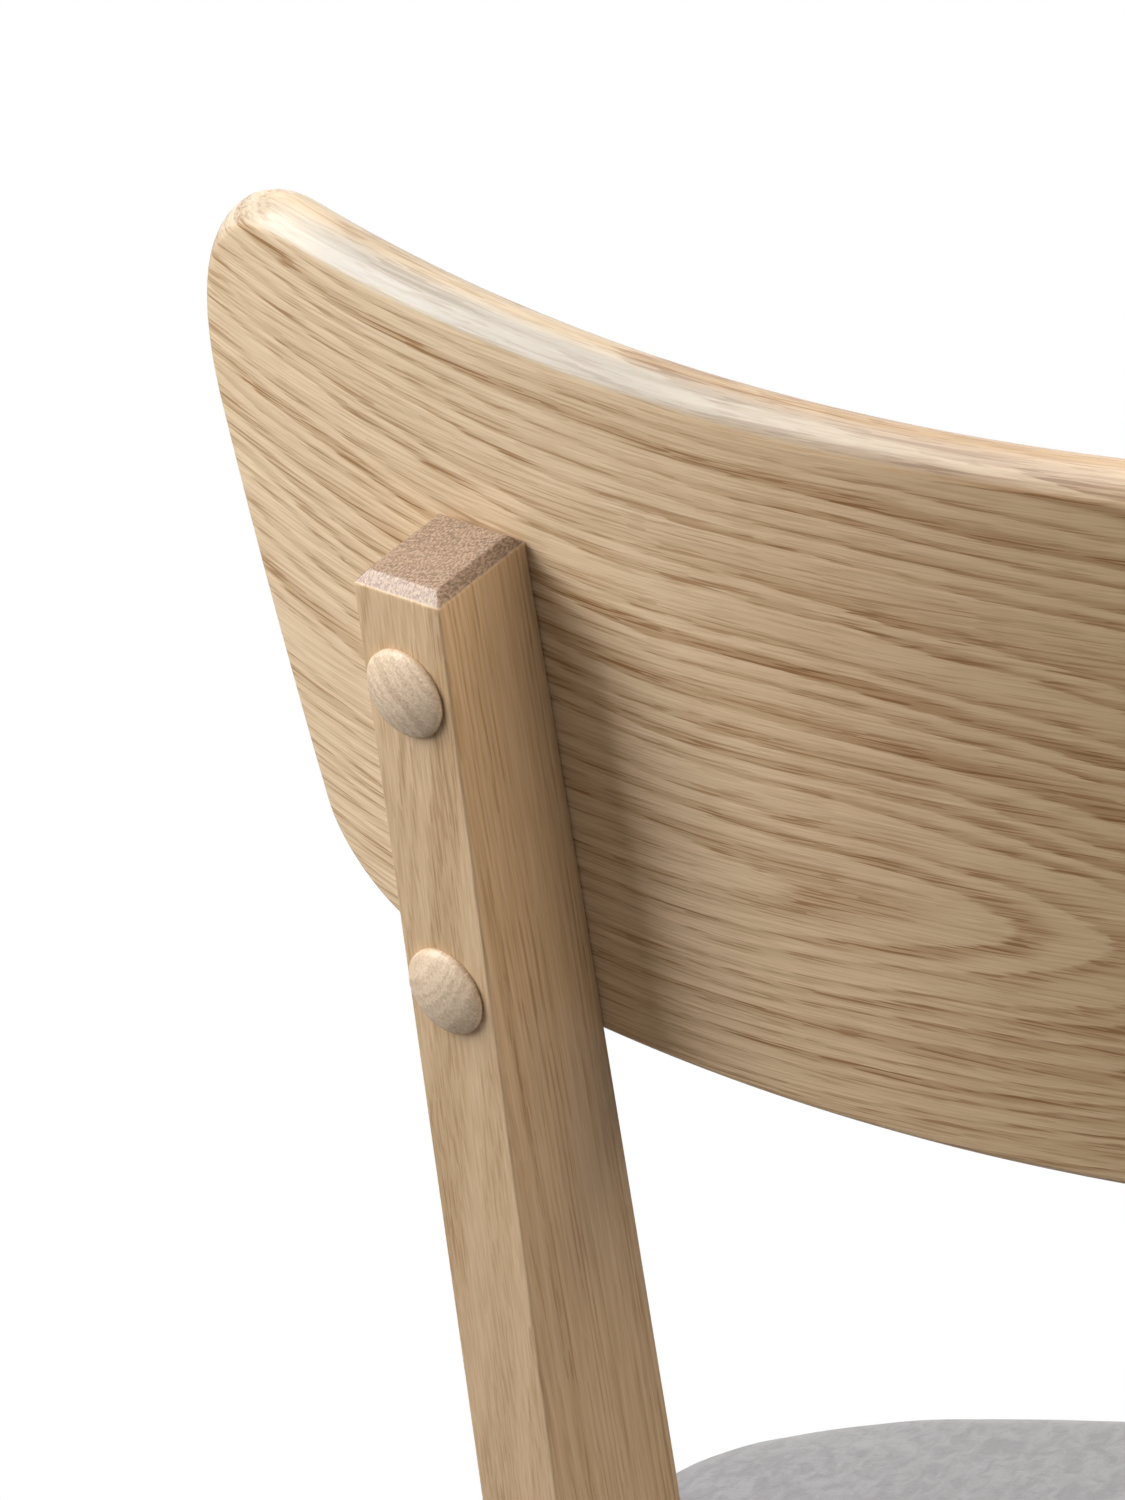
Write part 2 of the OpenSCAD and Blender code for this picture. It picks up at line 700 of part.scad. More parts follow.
// Seat outline: four arcs a side, each tangent to the next
front_mid = [0, -seat_front + seat_front_r];
rear_mid = [0, seat_rear - seat_rear_r];
corner_mid = [seat_half - seat_corner_r, front_mid[1]
    - sqrt(pow(seat_front_r - seat_corner_r, 2) - pow(seat_half - seat_corner_r, 2))];
rear_corner_x = seat_rear_half - seat_rear_corner_r;
rear_corner_mid = [rear_corner_x, rear_mid[1]
    + sqrt(pow(seat_rear_r - seat_rear_corner_r, 2) - pow(rear_corner_x, 2))];
side_vec = rear_corner_mid - corner_mid;
side_normal = atan2(side_vec[1], side_vec[0])
    - acos((seat_corner_r - seat_rear_corner_r) / norm(side_vec));
front_turn = atan2(corner_mid[1] - front_mid[1], corner_mid[0] - front_mid[0]);
rear_turn = atan2(rear_corner_mid[1] - rear_mid[1], rear_corner_mid[0] - rear_mid[0]);
function seat_half_outline(inset) = concat(
    arc_points(front_mid, seat_front_r, -90, front_turn, 0, 5, inset),
    arc_points(corner_mid, seat_corner_r, front_turn, side_normal, 1, 8, inset),
    arc_points(rear_corner_mid, seat_rear_corner_r, side_normal, rear_turn, 0, 6, inset),
    arc_points(rear_mid, seat_rear_r, rear_turn, 90, 1, 5, inset)
);
function seat_outline(inset) = let (h = seat_half_outline(inset), m = len(h))
    concat(h, [for (k = [m - 2:-1:1]) [-h[k][0], h[k][1]]]);
function ring_at(outline, z) = [for (p = outline) [p[0], p[1], z]];
seat_mid_y = (seat_rear - seat_front) / 2;

// Rings of the padded form, drawn in by a skin: bulge, shoulder, then the crown
shoulder_steps = 5;
crown_steps = 3;
function pad_rings(skin) = concat(
    [for (k = [0:shoulder_steps])
        let (a = 90 * k / shoulder_steps)
        ring_at(seat_outline(skin + (seat_shoulder - skin) * (1 - cos(a))),
                rail_z + seat_bulge_h + (seat_edge_h - seat_bulge_h - skin) * sin(a))],
    [for (k = [1:crown_steps - 1])
        let (t = 1 - k / crown_steps)
        [for (p = seat_outline(seat_shoulder))
            [p[0] * t, seat_mid_y + (p[1] - seat_mid_y) * t,
             rail_z + seat_edge_h - skin + seat_crown * (1 - t * t)]]]
);
function pad_tip(skin) = [0, seat_mid_y, rail_z + seat_edge_h - skin + seat_crown];
board_inset = felt_t + 4.2;
fold_inset = board_inset + felt_fold;
module seat_cover() {
    side_low = [
        ring_at(seat_outline(0.9), rail_z + 0.55 * seat_bulge_h),
        ring_at(seat_outline(2.6), rail_z + 0.2 * seat_bulge_h),
        ring_at(seat_outline(board_inset - felt_t - soft_gap + 0.8), rail_z - felt_t)
    ];
    fold = [
        ring_at(seat_outline(fold_inset), rail_z - felt_t),
        ring_at(seat_outline(fold_inset), rail_z),
        ring_at(seat_outline(board_inset - soft_gap), rail_z),
        ring_at(seat_outline(2.6 + felt_t), rail_z + 0.2 * seat_bulge_h),
        ring_at(seat_outline(0.9 + felt_t), rail_z + 0.55 * seat_bulge_h)
    ];
    color("silver")
        point_loft(turned(concat(turned(pad_rings(0)), side_low, fold, pad_rings(felt_t))),
                   pad_tip(felt_t), pad_tip(0));
}
module seat_foam() {
    skin = felt_t + soft_gap;
    low = ring_at(seat_outline(skin + 1), rail_z + board_t);
    color("ivory")
        point_loft(concat([low], pad_rings(skin)),
                   [0, seat_mid_y, rail_z + board_t], pad_tip(skin));
}
hole_places = [front_hole, rear_hole];
module seat_board() {
    color("peru") difference() {
        translate([0, 0, rail_z]) linear_extrude(height = board_t)
            polygon(seat_outline(board_inset));
        both_sides()
            for (h = hole_places) translate([h[0], h[1], rail_z - 1])
                cylinder(h = board_t - 2 + 1 + fit, d = seat_insert_d + 2 * fit, $fn = small_fn);
        staple_places() staple_legs(fit);
    }
}
seat_insert_d = 8;
seat_insert_l = board_t - 2;
module seat_inserts() {
    color("goldenrod") both_sides()
        for (h = hole_places) translate([h[0], h[1], rail_z])
            difference() {
                cylinder(h = seat_insert_l, d = seat_insert_d, $fn = small_fn);
                translate([0, 0, -1])
                    cylinder(h = seat_insert_l + 2, d = seat_screw_d + 2 * fit, $fn = small_fn);
            }
}
washer_t = 1;
module seat_screws() {
    color(steel) both_sides()
        for (h = hole_places) translate([h[0], h[1], block_low]) {
            translate([0, 0, -washer_t])
                pan_screw(seat_screw_d, washer_t + block_h + felt_room + seat_insert_l - 2,
                          1.9 * seat_screw_d, 0.7 * seat_screw_d);
            translate([0, 0, -washer_t])
                difference() {
                    cylinder(h = washer_t, d = 2.6 * seat_screw_d, $fn = small_fn);
                    translate([0, 0, -1]) cylinder(h = washer_t + 2, d = seat_screw_d, $fn = small_fn);
                }
        }
}

// Dust cover: under the board, inside the rails, clear of the corner blocks
dust_gap = 3;
dust_x = side_face_x(rear_block_y) - dust_gap;
dust_front = front_block_y + dust_gap;
dust_rear = rear_block_y - dust_gap;
dust_cut = 90;
dust_slant = 78;
module dust_cover() {
    half = [
        [dust_x - dust_slant, dust_front],
        [dust_x, dust_front + dust_cut],
        [dust_x, dust_rear - dust_cut],
        [dust_x - dust_slant, dust_rear]
    ];
    color("dimgray") translate([0, 0, rail_z - dust_t]) linear_extrude(height = dust_t)
        polygon(concat(half, [for (k = [3:-1:0]) [-half[k][0], half[k][1]]]));
}

// Staples through the folded felt, spread round the seat by angle
staple_w = 10;
staple_wire = 0.7;
staple_leg = 6;
staple_inset = board_inset + felt_fold * 0.55;
staple_path = seat_outline(staple_inset);
path_n = len(staple_path);
function path_step(i) = norm(staple_path[(i + 1) % path_n] - staple_path[i % path_n]);
function path_to(i) = i == 0 ? 0 : path_to(i - 1) + path_step(i - 1);
path_at = [for (i = [0:path_n]) path_to(i)];
function staple_point(k) = let (
    along = (k + 0.5) * path_at[path_n] / staple_count,
    i = max([for (q = [0:path_n - 1]) if (path_at[q] <= along) q]),
    p = staple_path[i], q = staple_path[(i + 1) % path_n],
    at = p + (q - p) * (along - path_at[i]) / path_step(i))
    [at[0], at[1], atan2(q[1] - p[1], q[0] - p[0])];
module staple_places() {
    for (k = [0:staple_count - 1]) {
        s = staple_point(k);
        translate([s[0], s[1], rail_z]) rotate([0, 0, s[2]]) children();
    }
}
module staple_legs(extra) {
    for (side = [-1, 1])
        translate([side * (staple_w - staple_wire) / 2 - staple_wire / 2 - extra,
                   -staple_wire / 2 - extra, -felt_t])
            cube([staple_wire + 2 * extra, staple_wire + 2 * extra, felt_t + staple_leg + extra]);
}
module cover_staples() {
    color(steel) staple_places() {
        translate([-staple_w / 2, -staple_wire / 2, -felt_t - staple_wire / 2])
            cube([staple_w, staple_wire, staple_wire / 2]);
        staple_legs(0);
    }
}

// Feet
glide_places = [foot_mid, [front_foot[0], -front_foot[1]]];
nail_head_h = 1.2;
nail_head_d = 6;
module foot_glides() {
    color("dimgray") both_sides()
        for (p = glide_places) translate([p[0], p[1], 0])
            difference() {
                union() {
                    cylinder(h = 1, d1 = glide_d - 2, d2 = glide_d, $fn = 2 * small_fn);
                    translate([0, 0, 1]) cylinder(h = glide_h - 1, d = glide_d, $fn = 2 * small_fn);
                }
                translate([0, 0, -1]) cylinder(h = glide_h + 2, d = nail_d + 2 * fit, $fn = small_fn);
                translate([0, 0, -1])
                    cylinder(h = 2 * nail_head_h + 1, d = nail_head_d + 2 * fit, $fn = small_fn);
            }
}
module glide_nails() {
    color(steel) both_sides()
        for (p = glide_places) translate([p[0], p[1], nail_head_h]) {
            cylinder(h = nail_head_h, d = nail_head_d, $fn = small_fn);
            cylinder(h = nail_l - nail_head_h, d = nail_d, $fn = small_fn);
        }
}

back_panel();
rear_leg_left();
rear_leg_right();
front_leg_left();
front_leg_right();
front_rail();
rear_rail();
side_rail_left();
side_rail_right();
rail_dowels();
corner_block_front_left();
corner_block_front_right();
corner_block_rear_left();
corner_block_rear_right();
corner_block_screws();
back_inserts();
back_screws();
cover_buttons();
seat_board();
seat_foam();
seat_cover();
dust_cover();
cover_staples();
seat_inserts();
seat_screws();
foot_glides();
glide_nails();
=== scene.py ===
# %% [markdown]
# This script dresses a dining chair of solid oak. Its back is one bowed board, screwed from behind
# to two raked legs, and each screw hides under a turned button. The seat is a plywood board with
# foam on it, wrapped in pale grey felt. The solids of the CAD model come in first, as a fixed
# frame. Each one then keeps its shape and gets a finish, or makes way for a finer piece that lies
# in the same place. Sizes of the chair are in millimetres, as on the maker's drawing.

# %% Load the frame
from contextlib import contextmanager
import math
import bmesh
import bpy
import numpy as np
from mathutils import Matrix, Vector


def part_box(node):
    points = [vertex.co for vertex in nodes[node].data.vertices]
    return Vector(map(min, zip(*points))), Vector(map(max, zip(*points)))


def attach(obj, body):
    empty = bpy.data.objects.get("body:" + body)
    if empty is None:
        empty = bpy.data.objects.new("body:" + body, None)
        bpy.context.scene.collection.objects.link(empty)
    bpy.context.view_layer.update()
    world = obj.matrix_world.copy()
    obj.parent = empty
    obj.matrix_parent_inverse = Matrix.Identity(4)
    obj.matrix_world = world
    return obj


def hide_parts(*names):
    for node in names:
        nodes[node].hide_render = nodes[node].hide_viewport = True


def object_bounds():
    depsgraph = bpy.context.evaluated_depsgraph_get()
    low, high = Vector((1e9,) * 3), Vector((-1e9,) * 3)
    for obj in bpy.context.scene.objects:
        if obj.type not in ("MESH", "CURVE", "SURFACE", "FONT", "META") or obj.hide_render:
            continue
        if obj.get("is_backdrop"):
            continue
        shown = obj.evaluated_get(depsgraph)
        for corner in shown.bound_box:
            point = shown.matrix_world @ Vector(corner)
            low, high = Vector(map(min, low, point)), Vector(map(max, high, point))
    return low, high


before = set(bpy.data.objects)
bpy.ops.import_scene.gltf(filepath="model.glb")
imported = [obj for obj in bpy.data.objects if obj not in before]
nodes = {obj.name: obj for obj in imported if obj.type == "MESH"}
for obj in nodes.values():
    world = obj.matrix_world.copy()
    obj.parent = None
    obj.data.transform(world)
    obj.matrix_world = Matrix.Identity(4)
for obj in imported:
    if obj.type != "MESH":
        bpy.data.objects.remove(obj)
cad_box = [list(corner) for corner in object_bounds()]
MM = 0.001
print("solids in the frame:", len(nodes), "box in mm:",
      [[round(x / MM) for x in corner] for corner in cad_box])

# %% [markdown]
# The camera stands behind the chair and a little above it, with a long lens, so that the back
# panel and one leg fill the picture. Its place and angles were worked out from the edges of the
# panel and the leg. A camera looks along its own -Z, so the matrix gets the three axes as columns.

# %% Camera
CAMERA_TURN, CAMERA_TILT, CAMERA_AT = 21.9029, 14.1778, (-314.249, 1331.811, 1030.301)
LENS, SENSOR, SEEN_FROM, SEEN_TO = 156, 36, 0.05, 60

turn, tilt = math.radians(CAMERA_TURN), math.radians(CAMERA_TILT)
eye = Vector(CAMERA_AT) * MM
ahead = Vector((math.sin(turn) * math.cos(tilt), -math.cos(turn) * math.cos(tilt),
                -math.sin(tilt)))
right = Vector((-math.cos(turn), -math.sin(turn), 0))
lens = bpy.data.cameras.new("camera")
lens.lens, lens.sensor_width, lens.clip_start, lens.clip_end = LENS, SENSOR, SEEN_FROM, SEEN_TO
camera = bpy.data.objects.new("camera", lens)
bpy.context.scene.collection.objects.link(camera)
axes = Matrix((right, right.cross(ahead), -ahead)).transposed()
camera.matrix_world = Matrix.Translation(eye) @ axes.to_4x4()
bpy.context.scene.camera = camera
bpy.context.scene.view_settings.view_transform = "Standard"
print("camera at", [round(x, 3) for x in eye])

# %% [markdown]
# Materials and Geometry Nodes are both graphs of small sums. Joining their sockets by hand takes
# many lines, so a small helper adds a node, fills or joins its inputs, and gives back its output.
# A node's own settings have names in small letters, and its inputs have names with a capital, so
# one list of names can serve for both.

# %% A helper for node graphs
class Graph:
    def __init__(self, tree):
        self.tree = tree

    def put(self, socket, value):
        if isinstance(value, bpy.types.NodeSocket):
            self.tree.links.new(value, socket)
        elif value is not None:
            socket.default_value = value

    def fill(self, node, **inputs):
        """Fills or joins inputs by name. A space in a name is written as an underscore."""
        for label, value in inputs.items():
            self.put(node.inputs[label.replace("_", " ")], value)
        return node

    def node(self, kind, *values, **named):
        made = self.tree.nodes.new(kind)
        for label in filter(str.islower, named):
            setattr(made, label, named[label])
        for socket, value in zip(made.inputs, values):
            self.put(socket, value)
        return self.fill(made, **{k: v for k, v in named.items() if not k.islower()})

    def group(self, name, **inputs):
        return self.node("ShaderNodeGroup", node_tree=bpy.data.node_groups[name], **inputs).outputs


print("graph helper ready")

# %% [markdown]
# With a name for each sum, a formula in nodes reads nearly as it does on paper. Noise is the base
# of every natural pattern here. It lies about a half, so what shifts a pattern to both sides takes
# the half away first, and what must lie in a band goes through a range.

# %% Sums, noise and colours
class Sums(Graph):
    def math(self, operation, *values):
        return self.node("ShaderNodeMath", *values, operation=operation).outputs[0]

    def add(self, first, *others):
        for other in others:
            first = self.math("ADD", first, other)
        return first

    def times(self, first, *others):
        for other in others:
            first = self.math("MULTIPLY", first, other)
        return first

    def minus(self, a, b):
        return self.math("SUBTRACT", a, b)

    def over(self, a, b):
        return self.math("DIVIDE", a, b)

    def vector(self, operation, *values):
        made = self.node("ShaderNodeVectorMath", *values, operation=operation)
        return made.outputs["Value" if operation == "LENGTH" else "Vector"]

    def join(self, x, y, z):
        return self.node("ShaderNodeCombineXYZ", x, y, z).outputs[0]

    def split(self, vector):
        return self.node("ShaderNodeSeparateXYZ", vector).outputs

    def scaled(self, vector, x, y, z):
        return self.vector("MULTIPLY", vector, (x, y, z))

    def in_mm(self, vector):
        return self.scaled(vector, 1 / MM, 1 / MM, 1 / MM)

    def object_place(self):
        """Where a point lies on the chair, in millimetres."""
        return self.in_mm(self.node("ShaderNodeTexCoord").outputs["Object"])

    def range(self, value, low, high, to_low=0.0, to_high=1.0, smooth=False):
        return self.node("ShaderNodeMapRange", value, low, high, to_low, to_high,
                         interpolation_type="SMOOTHSTEP" if smooth else "LINEAR").outputs[0]

    def noise(self, place, detail=2.0, roughness=0.5, scale=1.0, wave=0.0):
        return self.node("ShaderNodeTexNoise", Vector=place, Scale=scale, Detail=detail,
                         Roughness=roughness, Distortion=wave).outputs[0]

    def noise_line(self, place, detail=1.0):
        return self.node("ShaderNodeTexNoise", noise_dimensions="1D", W=place, Scale=1.0,
                         Detail=detail, Roughness=0.5).outputs[0]

    def grain(self, wood, along, across, detail=2.0, roughness=0.5):
        """Noise stretched along the grain, by its rates per millimetre along and across."""
        return self.noise(self.scaled(wood, along, across, across), detail, roughness)

    def sway(self, noise, reach):
        """Turns noise into a shift to both sides."""
        return self.times(self.minus(noise, 0.5), reach)

    def clamped(self, value):
        return self.node("ShaderNodeClamp", value).outputs[0]

    def blend(self, factor, a, b, kind="MIX"):
        made = self.node("ShaderNodeMix", data_type="RGBA", blend_type=kind)
        for index, value in ((0, factor), (6, a), (7, b)):  # the sockets for colours
            self.put(made.inputs[index], value)
        return made.outputs[2]

    def tinted(self, base, tint):
        return self.blend(1.0, base, tint, "MULTIPLY")

    def relief(self, height, strength, distance):
        """Small hills and hollows, seen in the light alone: their depth is in millimetres."""
        return self.node("ShaderNodeBump", Strength=strength, Distance=distance * MM,
                         Height=height).outputs[0]


def colour(r, g, b):
    return (r, g, b, 1.0)


WHITE = colour(1, 1, 1)
print("sums:", [name for name in vars(Sums) if not name.startswith("_")])

# %% [markdown]
# A pale chair in a white room needs several soft lamps. The key stands behind the chair, on its
# sitter's left, and shapes the wood, but reflections don't show it. Instead two cards draw the
# white streak along the panel's rounded top and the shine on the leg's chamfers: a card lights
# nothing and is seen only in reflections, so its size and brightness can follow the streak. A warm
# weak fill opens the shadows from the other side. The front lamp reaches only the faces that the
# main picture doesn't show.

# %% Lamps
CHAIR_MIDDLE = (0.1, 0.2, 0.7)


def lamp(name, azimuth, elevation, distance, size, watts, target=CHAIR_MIDDLE, tint=(1, 1, 1),
         hidden_from=()):
    """Hangs a soft lamp (m, degrees from straight behind) that shines at a target."""
    a, e = math.radians(azimuth), math.radians(elevation)
    heading = (math.sin(a) * math.cos(e), math.cos(a) * math.cos(e), math.sin(e))
    place = [middle + distance * part for middle, part in zip(CHAIR_MIDDLE, heading)]
    data = bpy.data.lights.new(name, "AREA")
    data.shape, data.size, data.size_y = "RECTANGLE", *size
    data.energy, data.color = watts, tint
    made = bpy.data.objects.new(name, data)
    made.location = place
    made.rotation_euler = (Vector(target) - Vector(place)).to_track_quat("-Z", "Y").to_euler()
    for ray in hidden_from:
        setattr(made, "visible_" + ray, False)
    bpy.context.scene.collection.objects.link(made)


lamp("key_lamp", azimuth=57, elevation=36, distance=1.4, size=(0.85, 1.7), watts=35.7,
     hidden_from=["glossy"])
lamp("highlight_card", azimuth=58, elevation=31, distance=2.28, size=(1.5, 2.2), watts=92.0,
     hidden_from=["diffuse"])
lamp("top_card", azimuth=66, elevation=80, distance=2.2, size=(1.5, 1.5), watts=34.0,
     hidden_from=["diffuse"])
lamp("fill_lamp", azimuth=-77, elevation=30, distance=2.6, size=(1.0, 2.0), watts=58.0,
     target=(0, 0.2, 0.6), tint=(1.0, 0.91, 0.8))
lamp("front_lamp", azimuth=168, elevation=10, distance=2.8, size=(1.4, 1.6), watts=25.0,
     target=(0, 0, 0.5), hidden_from=["camera", "glossy"])

# %% [markdown]
# The world shows plain white to the camera and in reflections, and the floor does so to the camera,
# but both light the wood only gently: a white room that shone as bright as it looks would wash out
# the shaded sides. Light Path tells the kinds of ray apart. Near the chair the floor is partly
# real paper, so it still darkens in the chair's shadow, and further out it only glows.

# %% World and floor
SKY_LIGHT, FLOOR_SIZE, PAPER_FROM, PAPER_TO = 0.07, 30, 0.7, 1.3
FLOOR_GREY, PAPER_GREY, PAPER_GLOW = 0.25, 0.62, 0.62


def bare_graph(owner):
    owner.use_nodes = True
    owner.node_tree.nodes.clear()
    return Sums(owner.node_tree)


def any_of(g, *rays):
    """1 where one of these kinds of ray looks, else 0."""
    path = g.node("ShaderNodeLightPath").outputs
    found = path[rays[0]]
    for ray in rays[1:]:
        found = g.math("MAXIMUM", found, path[ray])
    return found


def mixed_shader(g, share, a, b):
    return g.node("ShaderNodeMixShader", share, a.outputs[0], b.outputs[0])


world = bpy.data.worlds.new("studio")
bpy.context.scene.world = world
g = bare_graph(world)
soft = g.node("ShaderNodeBackground", WHITE, SKY_LIGHT)
white = g.node("ShaderNodeBackground", WHITE, 1.0)
seen = any_of(g, "Is Camera Ray", "Is Glossy Ray", "Is Transmission Ray")
g.node("ShaderNodeOutputWorld", mixed_shader(g, seen, soft, white).outputs[0])

bpy.ops.mesh.primitive_plane_add(size=FLOOR_SIZE)
floor = bpy.context.object
floor.name = "studio_floor"
floor_finish = bpy.data.materials.new("pale_floor")
g = bare_graph(floor_finish)
from_middle = g.vector("LENGTH", g.node("ShaderNodeTexCoord").outputs["Object"])
matt = g.node("ShaderNodeBsdfDiffuse", colour(FLOOR_GREY, FLOOR_GREY, FLOOR_GREY))
paper = g.node("ShaderNodeBsdfDiffuse", colour(PAPER_GREY, PAPER_GREY, PAPER_GREY))
dim_glow = g.node("ShaderNodeEmission", WHITE, PAPER_GLOW)
near = g.node("ShaderNodeAddShader", paper.outputs[0], dim_glow.outputs[0])
backdrop = mixed_shader(g, g.range(from_middle, PAPER_FROM, PAPER_TO, smooth=True), near,
                        g.node("ShaderNodeEmission", WHITE, 1.0))
seen = any_of(g, "Is Camera Ray", "Is Transmission Ray")
g.node("ShaderNodeOutputMaterial", mixed_shader(g, seen, matt, backdrop).outputs[0])
floor.data.materials.append(floor_finish)
floor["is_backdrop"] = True
print("floor:", FLOOR_SIZE, "m wide, world light:", SKY_LIGHT)

# %% [markdown]
# Oak shows its growth rings as bands. Each ring starts with a row of wide pores, which looks
# darker, and ends in dense plain wood. A board cut along the trunk turns these rings into long
# lines, and where the cut just grazes a ring the line closes into a pointed arch. All of it
# follows from one number: how far a point lies from the trunk's middle. So the grain comes in two
# steps. One group works out that distance for a plain piece of wood, and another does it for the
# back panel with its arch. A third group turns the distance into bands, fibres and pores. They
# read the wood's own coordinates, which each mesh carries as an attribute named wood: along the
# grain, across it and into it, in millimetres. The pattern then follows a bent piece round its
# bend, and end grain appears by itself where the wood is cut across.

# %% Ring distance of a plain piece
def new_group(name, tree_kind, inputs, outputs):
    """Starts a node group. A socket is given by its default, or by its kind if it has none."""
    kinds = {float: "Float", int: "Int", tuple: "Color"}
    tree = bpy.data.node_groups.new(name, tree_kind)
    for side, sockets in (("INPUT", inputs), ("OUTPUT", outputs)):
        for label, value in sockets.items():
            kind = value if isinstance(value, str) else kinds[type(value)]
            socket = tree.interface.new_socket(label.replace("_", " "), in_out=side,
                                               socket_type="NodeSocket" + kind)
            if kind is not value:
                socket.default_value = value
    g = Sums(tree)
    return g, g.node("NodeGroupInput").outputs, g.node("NodeGroupOutput").inputs


g, given, out = new_group(
    "Ring distance", "ShaderNodeTree",
    dict(Wood="Vector", Heart_Across=40.0, Heart_Depth=30.0, Lean=0.01, Bend=12.0),
    dict(Distance="Float", Wood="Vector"))
along, across, depth = g.split(given["Wood"])
bent = g.sway(g.grain(given["Wood"], 0.004, 0.008, 1.0), given["Bend"])
across_now = g.add(across, g.times(along, given["Lean"]), bent)
g.put(out["Distance"], g.vector("LENGTH", g.join(0.0, g.minus(across_now, given["Heart Across"]),
                                                 g.minus(depth, given["Heart Depth"]))))
g.put(out["Wood"], g.join(along, g.add(across, g.times(bent, 0.4)), depth))
print("group:", g.tree.name, "nodes:", len(g.tree.nodes))

# %% [markdown]
# On the panel the lines fall towards the middle of the chair at its end, run nearly level further
# in, and close in an arch low on the panel. The distance is the length of two legs of a right
# triangle: the height over the arch's axis, and a depth that shrinks past the arch's tip.

# %% Ring distance of the back panel
FALL_FROM, FALL_SPAN, FALL_POWER, FALL = 90.0, 135.0, 2.5, 17.0
CLIMB_FROM, CLIMB_TO, CLIMB = -60.0, -5.0, 0.045
WANDER, TIP_CLOSES, LEAST_DEPTH, CROWDED, CROWD_HEIGHT = 7.0, 9.0, 60.0, 1.35, 70.0
FOLLOWS_LINES = 0.55

g, given, out = new_group(
    "Panel rings", "ShaderNodeTree",
    dict(Wood="Vector", Tip=28.0, Axis=-67.0, Arch=620.0, Reach=45.0),
    dict(Distance="Float", Wood="Vector"))
along, height, depth = g.split(given["Wood"])
at_end = g.math("MAXIMUM", g.over(g.minus(along, FALL_FROM), FALL_SPAN), 0.0)
fall = g.times(g.math("POWER", at_end, FALL_POWER), FALL)
climb = g.times(g.range(height, CLIMB_FROM, CLIMB_TO, smooth=True), CLIMB, along)
wander = g.sway(g.noise(g.scaled(given["Wood"], 0.011, 0.022, 0.02), 1.0), WANDER)
level = g.add(g.minus(height, g.add(fall, climb)), wander)
past = g.minus(along, given["Tip"])
fading = g.math("EXPONENT", g.over(g.times(g.math("MAXIMUM", past, 0.0), -1.0), given["Reach"]))
beyond = g.times(g.math("MAXIMUM", g.times(past, -1.0), 0.0), TIP_CLOSES)
under = g.math("SQRT", g.add(LEAST_DEPTH, g.times(fading, given["Arch"]), beyond))
over_axis = g.minus(level, given["Axis"])
crowding = g.range(over_axis, 0.0, CROWD_HEIGHT, CROWDED, 1.0)
g.put(out["Distance"], g.vector("LENGTH", g.join(0.0, g.times(over_axis, crowding),
                                                 g.add(under, g.times(depth, 0.8)))))
lined_up = g.add(g.times(level, FOLLOWS_LINES), g.times(height, 1 - FOLLOWS_LINES))
g.put(out["Wood"], g.join(along, lined_up, depth))
print("group:", g.tree.name, "nodes:", len(g.tree.nodes))

# %% [markdown]
# The figure group makes the wood itself. The distance is disturbed a little, so that no line is
# perfectly smooth and no two rings are equally wide. Its place within the ring gives the dark
# early band, which starts sharply and fades slowly. Some rings are stronger than others, and each
# is stronger in some places.

# %% Oak figure: the bands
DRIFT, RAGGED, UNEVEN = 4.0, 2.6, 9.0
BAND_RISES, BAND_FADES = (0.0, 0.11), (0.22, 0.8)

g, given, out = new_group(
    "Oak figure", "ShaderNodeTree",
    dict(Wood="Vector", Distance=0.0, Ring_Width=5.0, Contrast=1.0, Pores=1.0, Unrest=1.0,
         Late_Wood=colour(0.66, 0.49, 0.32), Early_Wood=colour(0.42, 0.28, 0.16)),
    dict(Color="Color", Band="Float", Height="Float", Roughness="Float"))
wood = given["Wood"]
drift = g.sway(g.grain(wood, 0.012, 0.05), DRIFT)
ragged = g.sway(g.grain(wood, 0.06, 0.95, 2.0, 0.6), RAGGED)
loose = g.add(given["Distance"], g.times(g.add(drift, ragged), given["Unrest"]))
uneven = g.sway(g.noise_line(g.times(loose, 0.11)), UNEVEN)
ring = g.over(g.add(loose, uneven), given["Ring Width"])
place = g.math("FRACT", ring)
vigour = g.range(g.noise_line(g.times(g.math("FLOOR", ring), 7.3), 0.0), 0.3, 0.7, 0.55, 1.1)
patchy = g.range(g.grain(wood, 0.02, 0.16, 1.0), 0.3, 0.7, 0.6, 1.15)
early = g.times(g.range(place, *BAND_RISES, smooth=True),
                g.range(place, *BAND_FADES, 1.0, 0.0, smooth=True))
band = g.times(early, vigour, patchy)
g.put(out["Band"], band)
print("group:", g.tree.name, "nodes so far:", len(g.tree.nodes))

# %% [markdown]
# Pores are long dark dashes: noise stretched along the grain and cut off high. They crowd in the
# early bands. Fibres streak the colour and make the bands look torn, and slow clouds of tone keep
# a wide face from looking printed. Pores are also small hollows, and they take the shine away.

# %% Oak figure: fibres, pores and colours
PORE_TINT, CLOUD_TINT, PORE_SHARE = colour(0.60, 0.47, 0.34), colour(0.90, 0.86, 0.82), 0.95
FIBRE_TINTS = ((0.86, 1.08), (0.83, 1.10), (0.78, 1.13))

